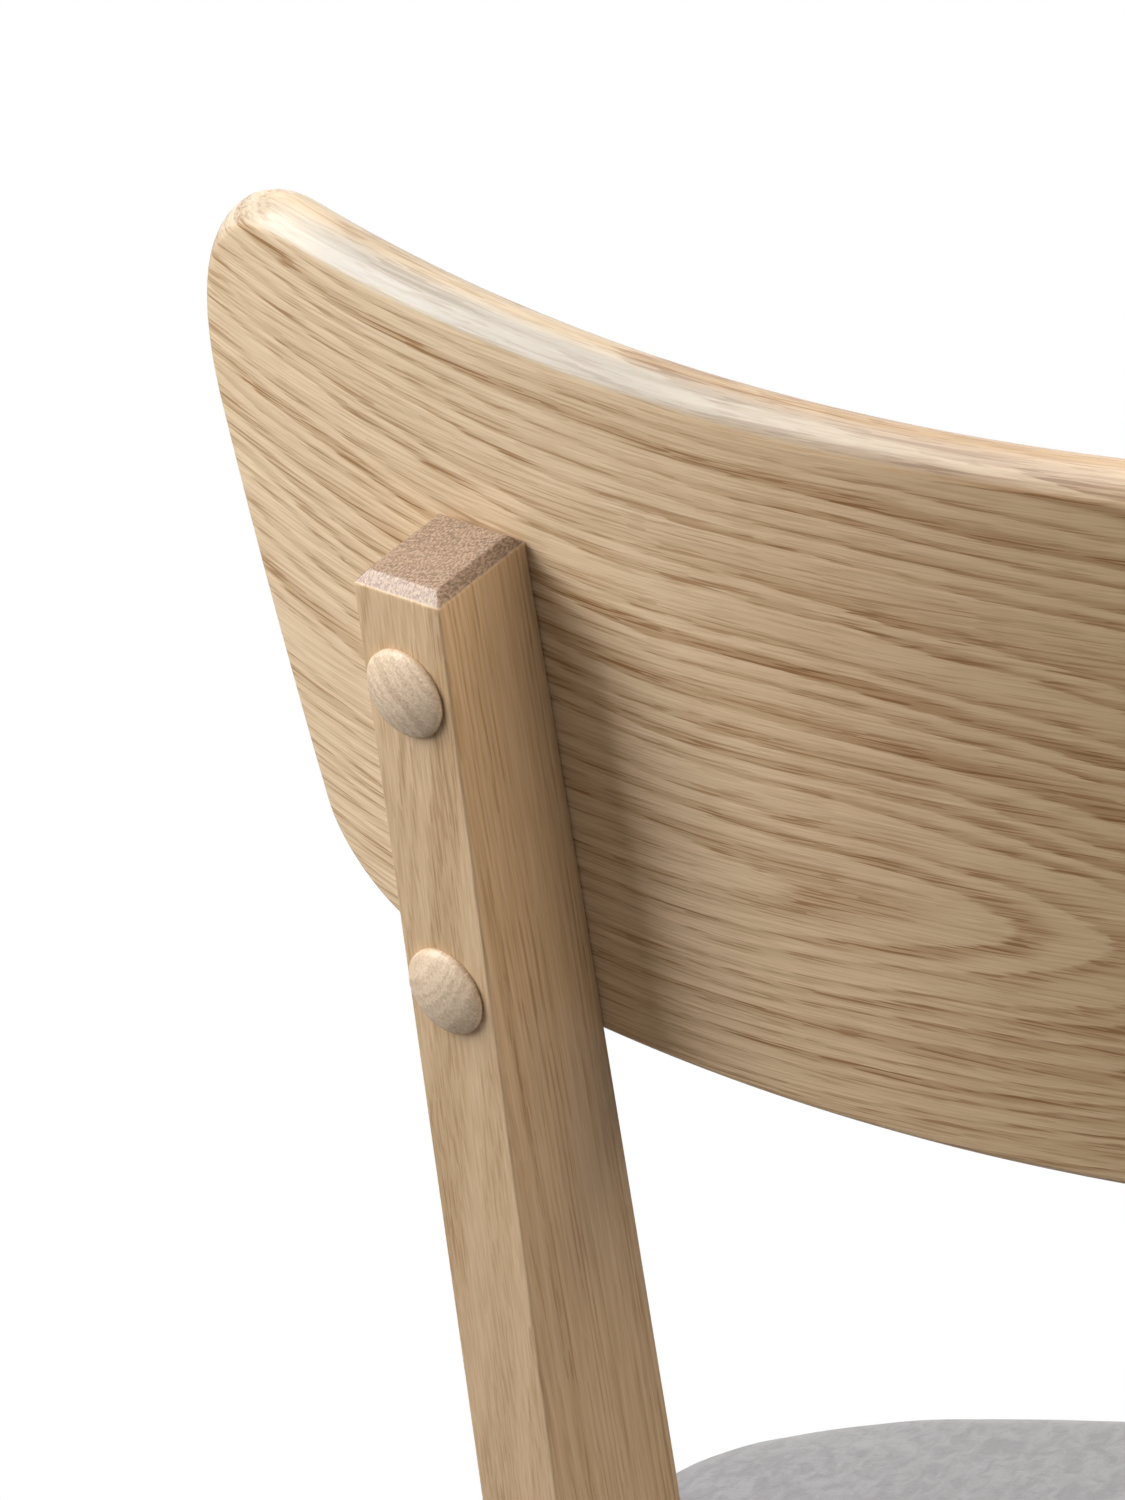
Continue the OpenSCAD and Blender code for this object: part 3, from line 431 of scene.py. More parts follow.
streaks = g.grain(wood, 0.02, 1.4, 3.0, 0.7)
fibre = g.grain(wood, 0.045, 1.9, 2.0, 0.6)
cloudy = g.grain(wood, 0.008, 0.022)
dashes = g.range(g.grain(wood, 0.05, 1.55, 0.5), 0.585, 0.63, smooth=True)
short = g.range(g.grain(wood, 0.12, 2.1, 0.0), 0.61, 0.67, smooth=True)
crowded = g.add(0.3, g.times(band, 0.75))
pores = g.times(g.math("MAXIMUM", dashes, g.times(short, 0.7)), crowded, given["Pores"])
torn = g.times(band, g.range(streaks, 0.3, 0.7, 0.65, 1.35))
shade = g.times(g.add(torn, g.times(g.minus(streaks, 0.45), 0.45)), given["Contrast"])
body = g.blend(g.clamped(shade), given["Late Wood"], given["Early Wood"])
toned = g.blend(g.range(cloudy, 0.35, 0.7, 0.0, 0.35), body, g.tinted(body, CLOUD_TINT))
fibre_tint = g.node("ShaderNodeCombineColor",
                    *[g.range(fibre, 0.25, 0.75, low, high) for low, high in FIBRE_TINTS])
lined = g.tinted(toned, fibre_tint.outputs[0])
g.put(out["Color"], g.blend(g.clamped(g.times(pores, PORE_SHARE)), lined,
                            g.tinted(lined, PORE_TINT)))
sanding = g.grain(wood, 0.012, 0.13, 1.0)
g.put(out["Height"], g.add(g.times(sanding, 2.0), g.minus(g.times(fibre, 0.5), pores)))
g.put(out["Roughness"], g.add(g.range(cloudy, 0.3, 0.7, 0.38, 0.46), g.times(pores, 0.25)))
print("group:", g.tree.name, "nodes:", len(g.tree.nodes))

# %% [markdown]
# Where the wood is cut across, the pores are open tubes seen end on: small dark dots in rows, with
# paler specks between them, and a surface that drinks more lacquer and so looks browner and
# rougher.

# %% End grain
TUBE_RATE, TUBE_WALL, TUBE_DARK = 1.35, (0.10, 0.34), colour(0.20, 0.12, 0.075)

g, given, out = new_group(
    "End grain", "ShaderNodeTree",
    dict(Wood="Vector", Ring_Place=0.0, Light=colour(0.5, 0.36, 0.26),
         Dark=colour(0.2, 0.13, 0.08)),
    dict(Color="Color", Height="Float"))
along, across, depth = g.split(given["Wood"])
cut = g.join(across, g.times(depth, 0.55), g.times(along, 0.6))
speck = g.noise(cut, 1.0, 0.6, 2.6)
tubes = g.node("ShaderNodeTexVoronoi", cut, Scale=TUBE_RATE)
hole = g.range(tubes.outputs["Distance"], *TUBE_WALL, 1.0, 0.0, smooth=True)
holes = g.times(hole, g.add(0.35, g.times(given["Ring Place"], 0.65)))
mottle = g.add(g.times(g.range(speck, 0.36, 0.64), 0.75), g.times(given["Ring Place"], 0.25))
base = g.blend(g.clamped(mottle), given["Light"], given["Dark"])
g.put(out["Color"], g.blend(g.times(holes, 0.55), base, TUBE_DARK))
g.put(out["Height"], g.minus(g.times(speck, 1.2), holes))
print("group:", g.tree.name, "nodes:", len(g.tree.nodes))

# %% [markdown]
# A finish is then a material that places these groups with its own numbers. The lacquer is a thin
# clear coat over the wood: the coat is even, so its weight and roughness are set on the shader
# itself, while the wood under it gets its roughness and a little relief from the figure. On the
# routed top edge of the panel the colour is greyed and darkened where the streak of light falls.
# This is painted shade in place of the light there, and on it the streak looks white. Further
# along the panel the contrast of the wood changes a little, and its colour carries painted light:
# a paler, bluer painted sheen towards the ends and painted shade towards the middle.

# %% Oak finishes
def new_finish(name, **inputs):
    """Makes a material, and gives it with its graph and the inputs of its shader."""
    material = bpy.data.materials.new(name)
    material.use_nodes = True
    g = Sums(material.node_tree)
    return material, g, g.fill(g.tree.nodes["Principled BSDF"], **inputs).inputs


def hard_shader(name, coat=0.5, coat_roughness=0.23):
    return new_finish(name, Specular_IOR_Level=0.1, Coat_Weight=coat,
                      Coat_Roughness=coat_roughness)


def oak_layers(g, rings, end_light, end_dark, places, offset=(0, 0, 0), **figure):
    """Places the ring, figure and end grain groups, one after another."""
    wood = g.node("ShaderNodeAttribute", attribute_name="wood").outputs["Vector"]
    ring = g.group(rings, Wood=g.vector("ADD", wood, offset), **places)
    grown = g.group("Oak figure", Wood=ring["Wood"], Distance=ring["Distance"], **figure)
    cut = g.group("End grain", Wood=ring["Wood"], Ring_Place=grown["Band"],
                  Light=colour(*end_light), Dark=colour(*end_dark))
    return grown, cut


END_LIGHT, END_DARK, END_ROUGHER = (0.42, 0.293, 0.205), (0.16, 0.105, 0.068), 0.05
# Painted shade for the routed top edge: greyer and darker where the streak of light falls.
PAINTED_EDGE_TINT, PAINTED_EDGE_GREY = colour(0.47, 0.55, 0.69), colour(0.36, 0.32, 0.265)


def oak_finish(name, rings, late, early, ring_width, contrast=1.0, pores=1.0, unrest=1.0,
               offset=(0, 0, 0), painted_light=(), calm=None, **places):
    """Painted light tints wood between two reaches; calm ranges its contrast by reach and height.
    """
    material, g, shader = hard_shader(name)
    wood = g.split(g.node("ShaderNodeAttribute", attribute_name="wood").outputs["Vector"])
    reach = g.math("ABSOLUTE", wood[0])
    if calm:
        contrast = g.times(g.range(reach, *calm[0]), g.range(wood[1], *calm[1]))
    grown, cut = oak_layers(g, rings, END_LIGHT, END_DARK, places, offset,
                            Ring_Width=ring_width, Contrast=contrast, Pores=pores,
                            Unrest=unrest, Late_Wood=colour(*late), Early_Wood=colour(*early))
    body = grown["Color"]
    # Painted light: each band is painted sheen or painted shade, by reach along the panel.
    for near_place, far_place, tint in painted_light:
        share = g.range(reach, near_place, far_place, smooth=True)
        body = g.blend(share, body, g.tinted(body, colour(*tint)))
    # Painted shade on the routed top edge, in place of the light that falls on it.
    on_edge = g.node("ShaderNodeAttribute", attribute_name="routed_edge").outputs["Fac"]
    body = g.blend(on_edge, body, g.blend(0.5, g.tinted(body, PAINTED_EDGE_TINT), PAINTED_EDGE_GREY))
    end = g.node("ShaderNodeAttribute", attribute_name="end_grain").outputs["Fac"]
    g.put(shader["Base Color"], g.blend(end, body, cut["Color"]))
    g.put(shader["Roughness"], g.add(grown["Roughness"], g.times(end, END_ROUGHER)))
    height = g.add(g.times(grown["Height"], g.minus(1.0, end)),
                   g.times(cut["Height"], g.times(end, 1.5)))
    g.put(shader["Normal"], g.relief(height, 0.4, 0.13))
    return material


LATE, EARLY = (0.83, 0.617, 0.395), (0.56, 0.355, 0.19)
# Painted light: a paler, bluer sheen towards the ends, and shade towards the middle.
oak_panel = oak_finish("oak_panel", "Panel rings", LATE, EARLY, 5.0,
                       painted_light=[(70.0, 170.0, (1.0, 1.06, 1.13)),
                               (130.0, 25.0, (0.87, 0.845, 0.81))],
                       calm=((30.0, 170.0, 1.15, 0.75), (-70.0, -35.0, 0.72, 1.0)))
oak_rear_leg = oak_finish("oak_rear_leg", "Ring distance", (0.70, 0.505, 0.315),
                          (0.51, 0.335, 0.18), 2.2, contrast=0.48, pores=0.45, unrest=0.5,
                          Bend=3.0, Heart_Across=48.0, Heart_Depth=-105.0, Lean=0.006)
oak_plain = oak_finish("oak_plain", "Ring distance", LATE, EARLY, 4.4, offset=(300, 20, 10),
                       Heart_Across=70.0, Heart_Depth=35.0)
print("oak finishes:", oak_panel.name, oak_rear_leg.name, oak_plain.name)

# %% [markdown]
# A cover button is turned with its face across the grain of a thin slice, so it shows arcs of
# rings and pores seen end on, and no long lines. Its coat is thinner and duller than the leg's.

# %% Finish of the cover buttons
END_SHARE, BUTTON_ROUGHER = 0.35, 0.05

oak_button, g, shader = hard_shader("oak_button", coat=0.2, coat_roughness=0.35)
grown, cut = oak_layers(g, "Ring distance", (0.80, 0.65, 0.49), (0.42, 0.30, 0.205),
                        dict(Heart_Across=25.0, Heart_Depth=-14.0, Bend=2.0),
                        Ring_Width=2.6, Contrast=0.6, Pores=0.25, Unrest=1.4,
                        Late_Wood=colour(0.75, 0.595, 0.435),
                        Early_Wood=colour(0.52, 0.375, 0.255))
g.put(shader["Base Color"], g.blend(END_SHARE, grown["Color"], cut["Color"]))
g.put(shader["Roughness"], g.add(grown["Roughness"], BUTTON_ROUGHER))
g.put(shader["Normal"], g.relief(cut["Height"], 0.3, 0.1))
print("oak finish:", oak_button.name)

# %% [markdown]
# A mesh starts as a list of points and a list of faces. A finished piece rides on the chair's one
# body, and the solid that it replaces is hidden. The grain reads its coordinates from attributes,
# which are numbers kept with each point.

# %% Meshes and their attributes
def make_piece(name, points, faces, finish, edges=(), smooth=True):
    mesh = bpy.data.meshes.new(name)
    mesh.from_pydata((np.asarray(points, float) * MM).tolist(), list(edges),
                     [list(map(int, f)) for f in faces])
    made = bpy.data.objects.new(name, mesh)
    bpy.context.scene.collection.objects.link(made)
    if finish:
        mesh.materials.append(finish)
    mesh.polygons.foreach_set("use_smooth", [smooth] * len(mesh.polygons))
    return made


@contextmanager
def editing(piece):
    """Opens a piece's mesh for changes, and writes it back at the end of the with block."""
    mesh = bmesh.new()
    mesh.from_mesh(piece.data)
    yield mesh
    mesh.to_mesh(piece.data)
    mesh.free()


def outward(piece):
    """Turns all faces outwards, and gives the number of open edges."""
    with editing(piece) as mesh:
        bmesh.ops.recalc_face_normals(mesh, faces=mesh.faces)
        if mesh.calc_volume(signed=True) < 0:
            bmesh.ops.reverse_faces(mesh, faces=mesh.faces)
        return sum(1 for e in mesh.edges if len(e.link_faces) != 2)


def write_numbers(piece, name, values):
    """Keeps a number, or three numbers, for each point."""
    values = np.asarray(values, np.float32)
    kind, field = ("FLOAT", "value") if values.ndim == 1 else ("FLOAT_VECTOR", "vector")
    piece.data.attributes.new(name, kind, "POINT").data.foreach_set(field, values.ravel())


def shade_smooth(piece, test=lambda face: True):
    piece.data.polygons.foreach_set("use_smooth", [test(face) for face in piece.data.polygons])


def stand_for(piece, body_slot, *replaced):
    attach(piece, "root")
    if replaced:
        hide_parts(*replaced)
    print(piece.name, "points:", len(piece.data.vertices), "faces:", len(piece.data.polygons))


print("mesh helpers ready")

# %% [markdown]
# The back panel is the piece that the eye goes to. In the workshop it is sawn flat, its outline is
# rounded over, and it is bent in a press. The script does the same. The outline is two gentle
# bows, above and below, joined at the ends by soft corners, each a cubic curve that leaves one
# edge and arrives at the next. Its right half is the left half mirrored.

# %% Outline of the back panel
BACK_LEAN, BACK_Z, BACK_Y = 21.0, 756.6, 227.5
PANEL_R, PANEL_T, PANEL_UP, PANEL_DOWN, PANEL_HALF = 455.0, 15.0, 37.6, 126.7, 239.5
TOP_RISE, BOTTOM_RISE, END_SLANT, END_BOW = 3.67, 2.21, 5.2, 1.0
UPPER_CORNER, LOWER_CORNER, CIRCLE_PULL = (36.5, 56.5), (29.0, 24.5), 0.5523
EDGE_STEPS, CORNER_STEPS, END_STEPS = 44, 18, 13


def top_edge(s):
    return PANEL_UP + TOP_RISE * (s / 100) ** 2


def bottom_edge(s):
    return -PANEL_DOWN + BOTTOM_RISE * (s / 100) ** 2


def end_edge(v):
    return PANEL_HALF + v * math.tan(math.radians(END_SLANT)) - END_BOW * (v / 50) ** 2


def corner_curve(start, meet, end):
    start, meet, end = map(np.array, (start, meet, end))
    b, c = start + CIRCLE_PULL * (meet - start), end + CIRCLE_PULL * (meet - end)
    rows = []
    for k in range(1, CORNER_STEPS + 1):
        t = k / CORNER_STEPS
        u = 1 - t
        rows.append(u ** 3 * start + 3 * u * u * t * b + 3 * u * t * t * c + t ** 3 * end)
    return rows


def half_outline():
    s1, s2 = end_edge(top_edge(PANEL_HALF)), end_edge(bottom_edge(PANEL_HALF))
    high, low = (s1, top_edge(s1)), (s2, bottom_edge(s2))
    us, uv = high[0] - UPPER_CORNER[0], high[1] - UPPER_CORNER[1]
    ls, lv = low[0] - LOWER_CORNER[0], low[1] + LOWER_CORNER[1]
    rows = [np.array((us * k / EDGE_STEPS, top_edge(us * k / EDGE_STEPS)))
            for k in range(EDGE_STEPS + 1)]
    rows += corner_curve((us, top_edge(us)), high, (end_edge(uv), uv))
    rows += [np.array((end_edge(v), v)) for v in np.linspace(uv, lv, END_STEPS + 1)[1:]]
    rows += corner_curve((end_edge(lv), lv), low, (ls, bottom_edge(ls)))
    rows += [np.array((ls * k / EDGE_STEPS, bottom_edge(ls * k / EDGE_STEPS)))
             for k in range(EDGE_STEPS - 1, -1, -1)]
    return np.array(rows)


def whole_outline(inset):
    line = half_outline()
    next_p = np.vstack([line[1:], [[-line[-2][0], line[-2][1]]]])
    last_p = np.vstack([[[-line[1][0], line[1][1]]], line[:-1]])
    t = next_p - last_p
    line = line + inset * np.stack([t[:, 1], -t[:, 0]], 1) / np.linalg.norm(t, axis=1)[:, None]
    return np.vstack([line, line[-2:0:-1] * (-1, 1)])


print("outline mm:", np.round(np.ptp(whole_outline(0), axis=0), 1))

# %% [markdown]
# The edge's rounding is a row of outlines, each drawn in a little more and set a little deeper. It
# is fuller than a quarter circle, and starts at the face with a faint line, as a routed and sanded
# edge does. One outline after another is a loft: its rings are joined by four-sided faces. Rungs
# from the top edge to the bottom edge then close both faces of the blank.

# %% The flat blank of the back panel
REAR_ROUND, FRONT_ROUND, FULLNESS, EDGE_LINE = (4.3, 6.8), 10.0, 1.22, 0.9
REAR_STEPS, FRONT_STEPS, RUNGS = 10, 12, 30


def skin(count, n):
    """The faces between rings of n points each."""
    return [(r * n + k, r * n + (k + 1) % n, (r + 1) * n + (k + 1) % n, (r + 1) * n + k)
            for r in range(count - 1) for k in range(n)]


def close_face(points, faces, ring, first):
    n, m = len(ring), len(half_outline())
    order = [(k, m - 1 - k) for k in range(m // 2)]
    order = [((n - a) % n, (n - b) % n) for a, b in order[:0:-1]] + order
    rows = []
    for a, b in order:
        row = [first + a]
        for j in range(1, RUNGS):
            points.append(ring[a] + (ring[b] - ring[a]) * j / RUNGS)
            row.append(len(points) - 1)
        rows.append(row + [first + b])
    for left, right_row in zip(rows, rows[1:]):
        faces += [(left[j], left[j + 1], right_row[j + 1], right_row[j]) for j in range(RUNGS)]


rear_in, rear_deep = REAR_ROUND
profile = [(rear_in + EDGE_LINE, 0.0)]  # how far in, and how deep below the rear face
profile += [(rear_in * (1 - math.sin(a) ** FULLNESS), rear_deep * (1 - math.cos(a) ** FULLNESS))
            for a in np.radians(np.linspace(0, 90, REAR_STEPS + 1)[:-1])]
profile += [(FRONT_ROUND * (1 - math.cos(a)), rear_deep + (PANEL_T - rear_deep) * math.sin(a))
            for a in np.radians(np.linspace(0, 90, FRONT_STEPS + 1))]
rings = [np.column_stack([line[:, 0], np.full(len(line), -deep), line[:, 1]])
         for line, deep in ((whole_outline(inset), deep) for inset, deep in profile)]
n = len(rings[0])
edge_points = np.vstack(rings)
points, faces = list(edge_points), skin(len(rings), n)
close_face(points, faces, rings[0], 0)
close_face(points, faces, rings[-1], len(edge_points) - n)
panel = make_piece("back_panel_oak", points, faces, oak_panel)
print("blank: points", len(points), "size mm", np.round(np.ptp(np.array(points), axis=0), 1))

# %% [markdown]
# The rounded top edge gets painted shade where the streak of light falls on it. A number for each
# point says how much of that greyer, darker colour it gets: most on the rounding of the top, less
# towards the middle and the end of the panel, none on its faces and below.

# %% Painted shade on the routed edge
# Painted shade: its share by depth into the rounding, and by reach along the panel.
BY_DEPTH = ((0, 0.1, 0.5, 4.3, 7.2), (0, 0.4, 1, 1, 0.42))
BY_REACH = ((20, 120, 192, 220), (0.5, 1, 1, 0.45))
FRONT_FACE, PAINT_FROM, PAINT_SPAN = 0.93 * FRONT_ROUND, 5, 30

painted_share_by_row = [0.0 if inset > FRONT_FACE else np.interp(deep, *BY_DEPTH) for inset, deep in profile]
painted_share_by_place = np.clip((edge_points[:, 2] - PAINT_FROM) / PAINT_SPAN, 0, 1)
painted_share_by_place *= np.interp(np.abs(edge_points[:, 0]), *BY_REACH)
painted_edge_share = np.zeros(len(points))
painted_edge_share[:len(edge_points)] = np.repeat(painted_share_by_row, n) * painted_share_by_place
write_numbers(panel, "routed_edge", painted_edge_share)
print("blank: open edges", outward(panel), "toned points", np.count_nonzero(painted_edge_share))

# %% [markdown]
# Bending is a rule, so Geometry Nodes do it. A point at the length s along the blank moves to the
# angle s divided by the radius, and the deeper it lies, the nearer it is to the middle of the
# circle. Before they move, the tree stores where the points lay: that is the wood attribute that
# the grain reads. The last nodes lean the panel back and lift it to its place.

# %% Helpers for Geometry Nodes
class Shapes(Sums):
    def store(self, geometry, name, value):
        """Keeps a vector for each point of a geometry."""
        return self.node("GeometryNodeStoreNamedAttribute", data_type="FLOAT_VECTOR",
                         domain="POINT", Geometry=geometry, Name=name, Value=value).outputs[0]

    def stored(self, name, data_type="FLOAT_VECTOR"):
        return self.node("GeometryNodeInputNamedAttribute", data_type=data_type,
                         Name=name).outputs[0]

    def place(self):
        return self.node("GeometryNodeInputPosition").outputs[0]

    def finish(self, geometry, given, out):
        real = self.node("GeometryNodeRealizeInstances", geometry).outputs[0]
        coated = self.node("GeometryNodeSetMaterial", Geometry=real, Material=given["Finish"])
        self.put(out["Geometry"], coated.outputs[0])


def geometry_tree(name, **inputs):
    g, given, out = new_group(name, "GeometryNodeTree",
                              dict(Geometry="Geometry", **inputs, Finish="Material"),
                              dict(Geometry="Geometry"))
    return Shapes(g.tree), given, out


def bake_tree(piece, g, **values):
    """Runs a tree on a piece and keeps the result as its plain mesh."""
    live = piece.modifiers.new(g.tree.name, "NODES")
    live.node_group = g.tree
    for item in g.tree.interface.items_tree:
        label = item.name.replace(" ", "_")
        if item.item_type == "SOCKET" and item.in_out == "INPUT" and label in values:
            live[item.identifier] = values[label]
    graph = bpy.context.evaluated_depsgraph_get()
    graph.update()
    mesh = bpy.data.meshes.new_from_object(piece.evaluated_get(graph),
                                           preserve_all_data_layers=True, depsgraph=graph)
    piece.modifiers.remove(live)
    piece.data, mesh.name = mesh, piece.name


print("geometry helpers ready")

# %% Bend the panel
g, given, out = geometry_tree("Bend a blank", Radius=0.455, Lean=0.0, Back=0.0, Height=0.0)
along, depth, height = g.split(g.place())
stored = g.store(given["Geometry"], "wood", g.in_mm(g.join(along, height, g.times(depth, -1.0))))
angle = g.over(along, given["Radius"])
reach = g.add(given["Radius"], depth)
bent = g.join(g.times(reach, g.math("SINE", angle)),
              g.minus(g.times(reach, g.math("COSINE", angle)), given["Radius"]), height)
moved = g.node("GeometryNodeSetPosition", Geometry=stored, Position=bent).outputs[0]
stood = g.node("GeometryNodeTransform", Geometry=moved,
               Rotation=g.join(g.times(given["Lean"], -1.0), 0.0, 0.0),
               Translation=g.join(0.0, given["Back"], given["Height"])).outputs[0]
g.finish(stood, given, out)
bake_tree(panel, g, Radius=PANEL_R * MM, Lean=math.radians(BACK_LEAN), Back=BACK_Y * MM,
          Height=BACK_Z * MM, Finish=oak_panel)
stand_for(panel, "oak", "back_panel")
print("attributes:", [a.name for a in panel.data.attributes if not a.name.startswith(".")])

# %% [markdown]
# A rear leg is sawn from a thick board: it rises from the floor, kinks below the seat, and from
# there leans back with the panel. It tapers both ways, its long edges are eased, and its top is
# cut with a small slope and four chamfers. It is lofted from its foot to its top through rounded
# rectangles, each with a middle, a size, and a length in the straight wood. Each corner of a ring
# has a point close beside it, which keeps the flats flat in smooth shading.

# %% Sizes and frame of a rear leg
LEG_ANGLE, LEG_W, LEG_TOP_D, LEG_TAPER = 20.2, 22.5, 25.5, 0.0457
LEG_BLOCK_D, LEG_FOOT_D, LEG_ROUND = 42.0, 27.0, 0.6
TOP_CHAMFER, TOP_SLOPE, TOP_TILT, SLOPE_REACH = 2.4, 2.3, 1.7, 40
KINK_Z, BEND_R, KICK_Z, KICK_BACK, KICK_OUT = 513.5, 200.0, 340.0, 73.0, 11.5
GLIDE_H, FOOT_EASE, BESIDE = 4.0, 0.7, 0.25

lean, leg_turn = math.radians(BACK_LEAN), math.radians(LEG_ANGLE)
leg_x, leg_bow = PANEL_R * math.sin(leg_turn), PANEL_R * (math.cos(leg_turn) - 1)
leg_ref = (BACK_Y + leg_bow * math.cos(lean), BACK_Z - leg_bow * math.sin(lean))
kink_down = (leg_ref[1] - KINK_Z) / math.cos(lean)
block_y0 = leg_ref[0] - kink_down * math.sin(lean)
bend_low_z = KINK_Z - BEND_R * math.tan(lean / 2)
bend_down = kink_down - BEND_R * math.tan(lean / 2)
leg_back = np.array((math.sin(leg_turn), math.cos(leg_turn)))
leg_mid = np.array((leg_x, block_y0)) + leg_back * LEG_BLOCK_D / 2
foot_mid = leg_mid + (KICK_OUT, KICK_BACK)


def turned(p, a):
    return np.stack([p[..., 0] * math.cos(a) - p[..., 1] * math.sin(a),
                     p[..., 0] * math.sin(a) + p[..., 1] * math.cos(a)], -1)


def from_leg(p):
    """From the leg's own frame: across, backwards from its front face, and up its length."""
    q = turned(p[:, :2], -leg_turn) + (leg_x, leg_bow)
    z = p[:, 2]
    return np.column_stack([q[:, 0], BACK_Y + q[:, 1] * math.cos(lean) + z * math.sin(lean),
                            BACK_Z - q[:, 1] * math.sin(lean) + z * math.cos(lean)])


def rounded_ring(width, deep, radius, steps=7):
    ring = []
    for quarter, (sx, sy) in enumerate(((1, 1), (-1, 1), (-1, -1), (1, -1))):
        middle = np.array((sx * (width / 2 - radius), sy * (deep / 2 - radius)))
        for k in range(-1, steps + 2):
            a = math.radians(90 * (quarter + min(max(k, 0), steps) / steps))
            past = BESIDE * ((k > steps) - (k < 0))
            ring.append(middle + radius * np.array((math.cos(a), math.sin(a)))
                        + past * np.array((-math.sin(a), math.cos(a))))
    return np.array(ring)


print("rear leg: bend at", round(bend_low_z, 1), "mm, foot at", np.round(foot_mid, 1))

# %% [markdown]
# The rings come in four parts: the lower leg that kicks back, the straight block at the seat, the
# bend, and the upper leg with its chamfered top. Close rings at the foot and round the chamfer keep
# the shading of the flats apart from that of the small faces.

# %% Rings of a rear leg
FOOT_RINGS, BLOCK_RINGS, BEND_RINGS, UPPER_RINGS = 11, 3, 12, 21


def leg_rings():
    places, woods, ends = [], [], []

    def add(xyz, ring, deep, length, end=0.0):
        places.append(xyz)
        woods.append(np.column_stack([np.full(len(ring), length), ring[:, 0],
                                      ring[:, 1] + deep / 2]))
        ends.append(np.full(len(ring), end))

    def add_level(ring, middle, z):
        q = turned(ring, -leg_turn) + middle
        add(np.column_stack([q, np.full(len(q), z)]), ring, LEG_BLOCK_D, z)

    for t in np.concatenate([(0.0, 0.0022, 0.005), np.linspace(0, 1, FOOT_RINGS + 1)[1:]]):
        d = LEG_FOOT_D + (LEG_BLOCK_D - LEG_FOOT_D) * t
        eased = FOOT_EASE if t == 0 else 0.0
        add_level(rounded_ring(LEG_W - 2 * eased, d - 2 * eased, LEG_ROUND),
                  foot_mid + (leg_mid - foot_mid) * t, GLIDE_H + (KICK_Z - GLIDE_H) * t)
    for z in np.linspace(KICK_Z, bend_low_z, BLOCK_RINGS + 2)[1:-1]:
        add_level(rounded_ring(LEG_W, LEG_BLOCK_D, LEG_ROUND), leg_mid, z)

    leg_bend_d = LEG_TOP_D + LEG_TAPER * bend_down
    for t in np.linspace(0, 1, BEND_RINGS + 1):
        a, d = lean * t, LEG_BLOCK_D + (leg_bend_d - LEG_BLOCK_D) * t
        ring = rounded_ring(LEG_W, d, LEG_ROUND)
        q = turned(ring + (0, d / 2), -leg_turn)
        add(np.column_stack([leg_x + q[:, 0],
                             block_y0 + BEND_R * (1 - math.cos(a)) + q[:, 1] * math.cos(a),
                             bend_low_z + BEND_R * math.sin(a) - q[:, 1] * math.sin(a)]),
            ring, d, bend_low_z + BEND_R * a)

    c = TOP_CHAMFER
    levels = [(down, 0.0) for down in np.linspace(bend_down, 5.0, UPPER_RINGS + 1)[1:]]
    levels += [(c + 0.7, 0), (c + 0.25, 0.03), (c - 0.02, 0.13), (c - 0.3, 0.36),
               (0.42, c - 0.36), (0.16, c - 0.08), (0.04, c + 0.18), (0, c + 0.6)]
    for down, inset in levels:
        d = LEG_TOP_D + LEG_TAPER * down
        ring = rounded_ring(LEG_W - 2 * inset, d - 2 * inset, max(LEG_ROUND - 0.5 * inset, 0.35))
        y = ring[:, 1] + d / 2
        sloped = min(1.0, max(0.0, 1 - (down - c) / SLOPE_REACH))
        z = -(y - LEG_TOP_D / 2) * math.tan(math.radians(TOP_SLOPE)) * sloped \
            - ring[:, 0] * math.tan(math.radians(TOP_TILT)) * sloped - down
        add(from_leg(np.column_stack([ring[:, 0], y, z])), ring, d,
            bend_low_z + BEND_R * lean + bend_down - down, 1.0 if inset > 0.3 else 0.0)
    return places, woods, ends


print("rings of a rear leg:", len(leg_rings()[0]))

# %% [markdown]
# Each end of the leg is closed with a few smaller rings and a middle point, all of it end grain.
# The sitter's right leg is the mirror image, cut from another part of the board.

# %% Rear legs
FOOT_FANS, TOP_FANS = 3, 6


def fan(points, woods, first, n, middle, rings_in):
    """Closes a loft's end with a few smaller rings and a middle point."""
    faces, ring = [], list(range(first, first + n))
    outer, outer_wood = np.array(points[first:first + n]), np.array(woods[first:first + n])
    wood_middle = np.mean(outer_wood, axis=0)
    for k in range(1, rings_in + 1):
        t = 1 - k / (rings_in + 1)
        inner = list(range(len(points), len(points) + n))
        points += [middle + (p - middle) * t for p in outer]
        woods += [wood_middle + (w - wood_middle) * t for w in outer_wood]
        faces += [(ring[j], ring[(j + 1) % n], inner[(j + 1) % n], inner[j]) for j in range(n)]
        ring = inner
    points.append(middle)
    woods.append(wood_middle)
    return faces + [(ring[j], ring[(j + 1) % n], len(points) - 1) for j in range(n)]


def rear_leg(name, side, shift):
    places, woods, ends = leg_rings()
    n = len(places[0])
    points, wood, end = (list(np.concatenate(rows)) for rows in (places, woods, ends))
    faces = skin(len(places), n)
    foot_centre = np.array([*foot_mid, GLIDE_H])
    top_centre = from_leg(np.array([[0, LEG_TOP_D / 2, 0]]))[0]
    faces += fan(points, wood, 0, n, foot_centre, FOOT_FANS)
    faces += fan(points, wood, (len(places) - 1) * n, n, top_centre, TOP_FANS)
    end += [1.0] * (len(points) - len(end))
    leg = make_piece(name, np.array(points) * (side, 1, 1), faces, oak_rear_leg)
    write_numbers(leg, "wood", np.array(wood) + shift)
    write_numbers(leg, "end_grain", end)
    print(name, "open edges", outward(leg))
    return leg


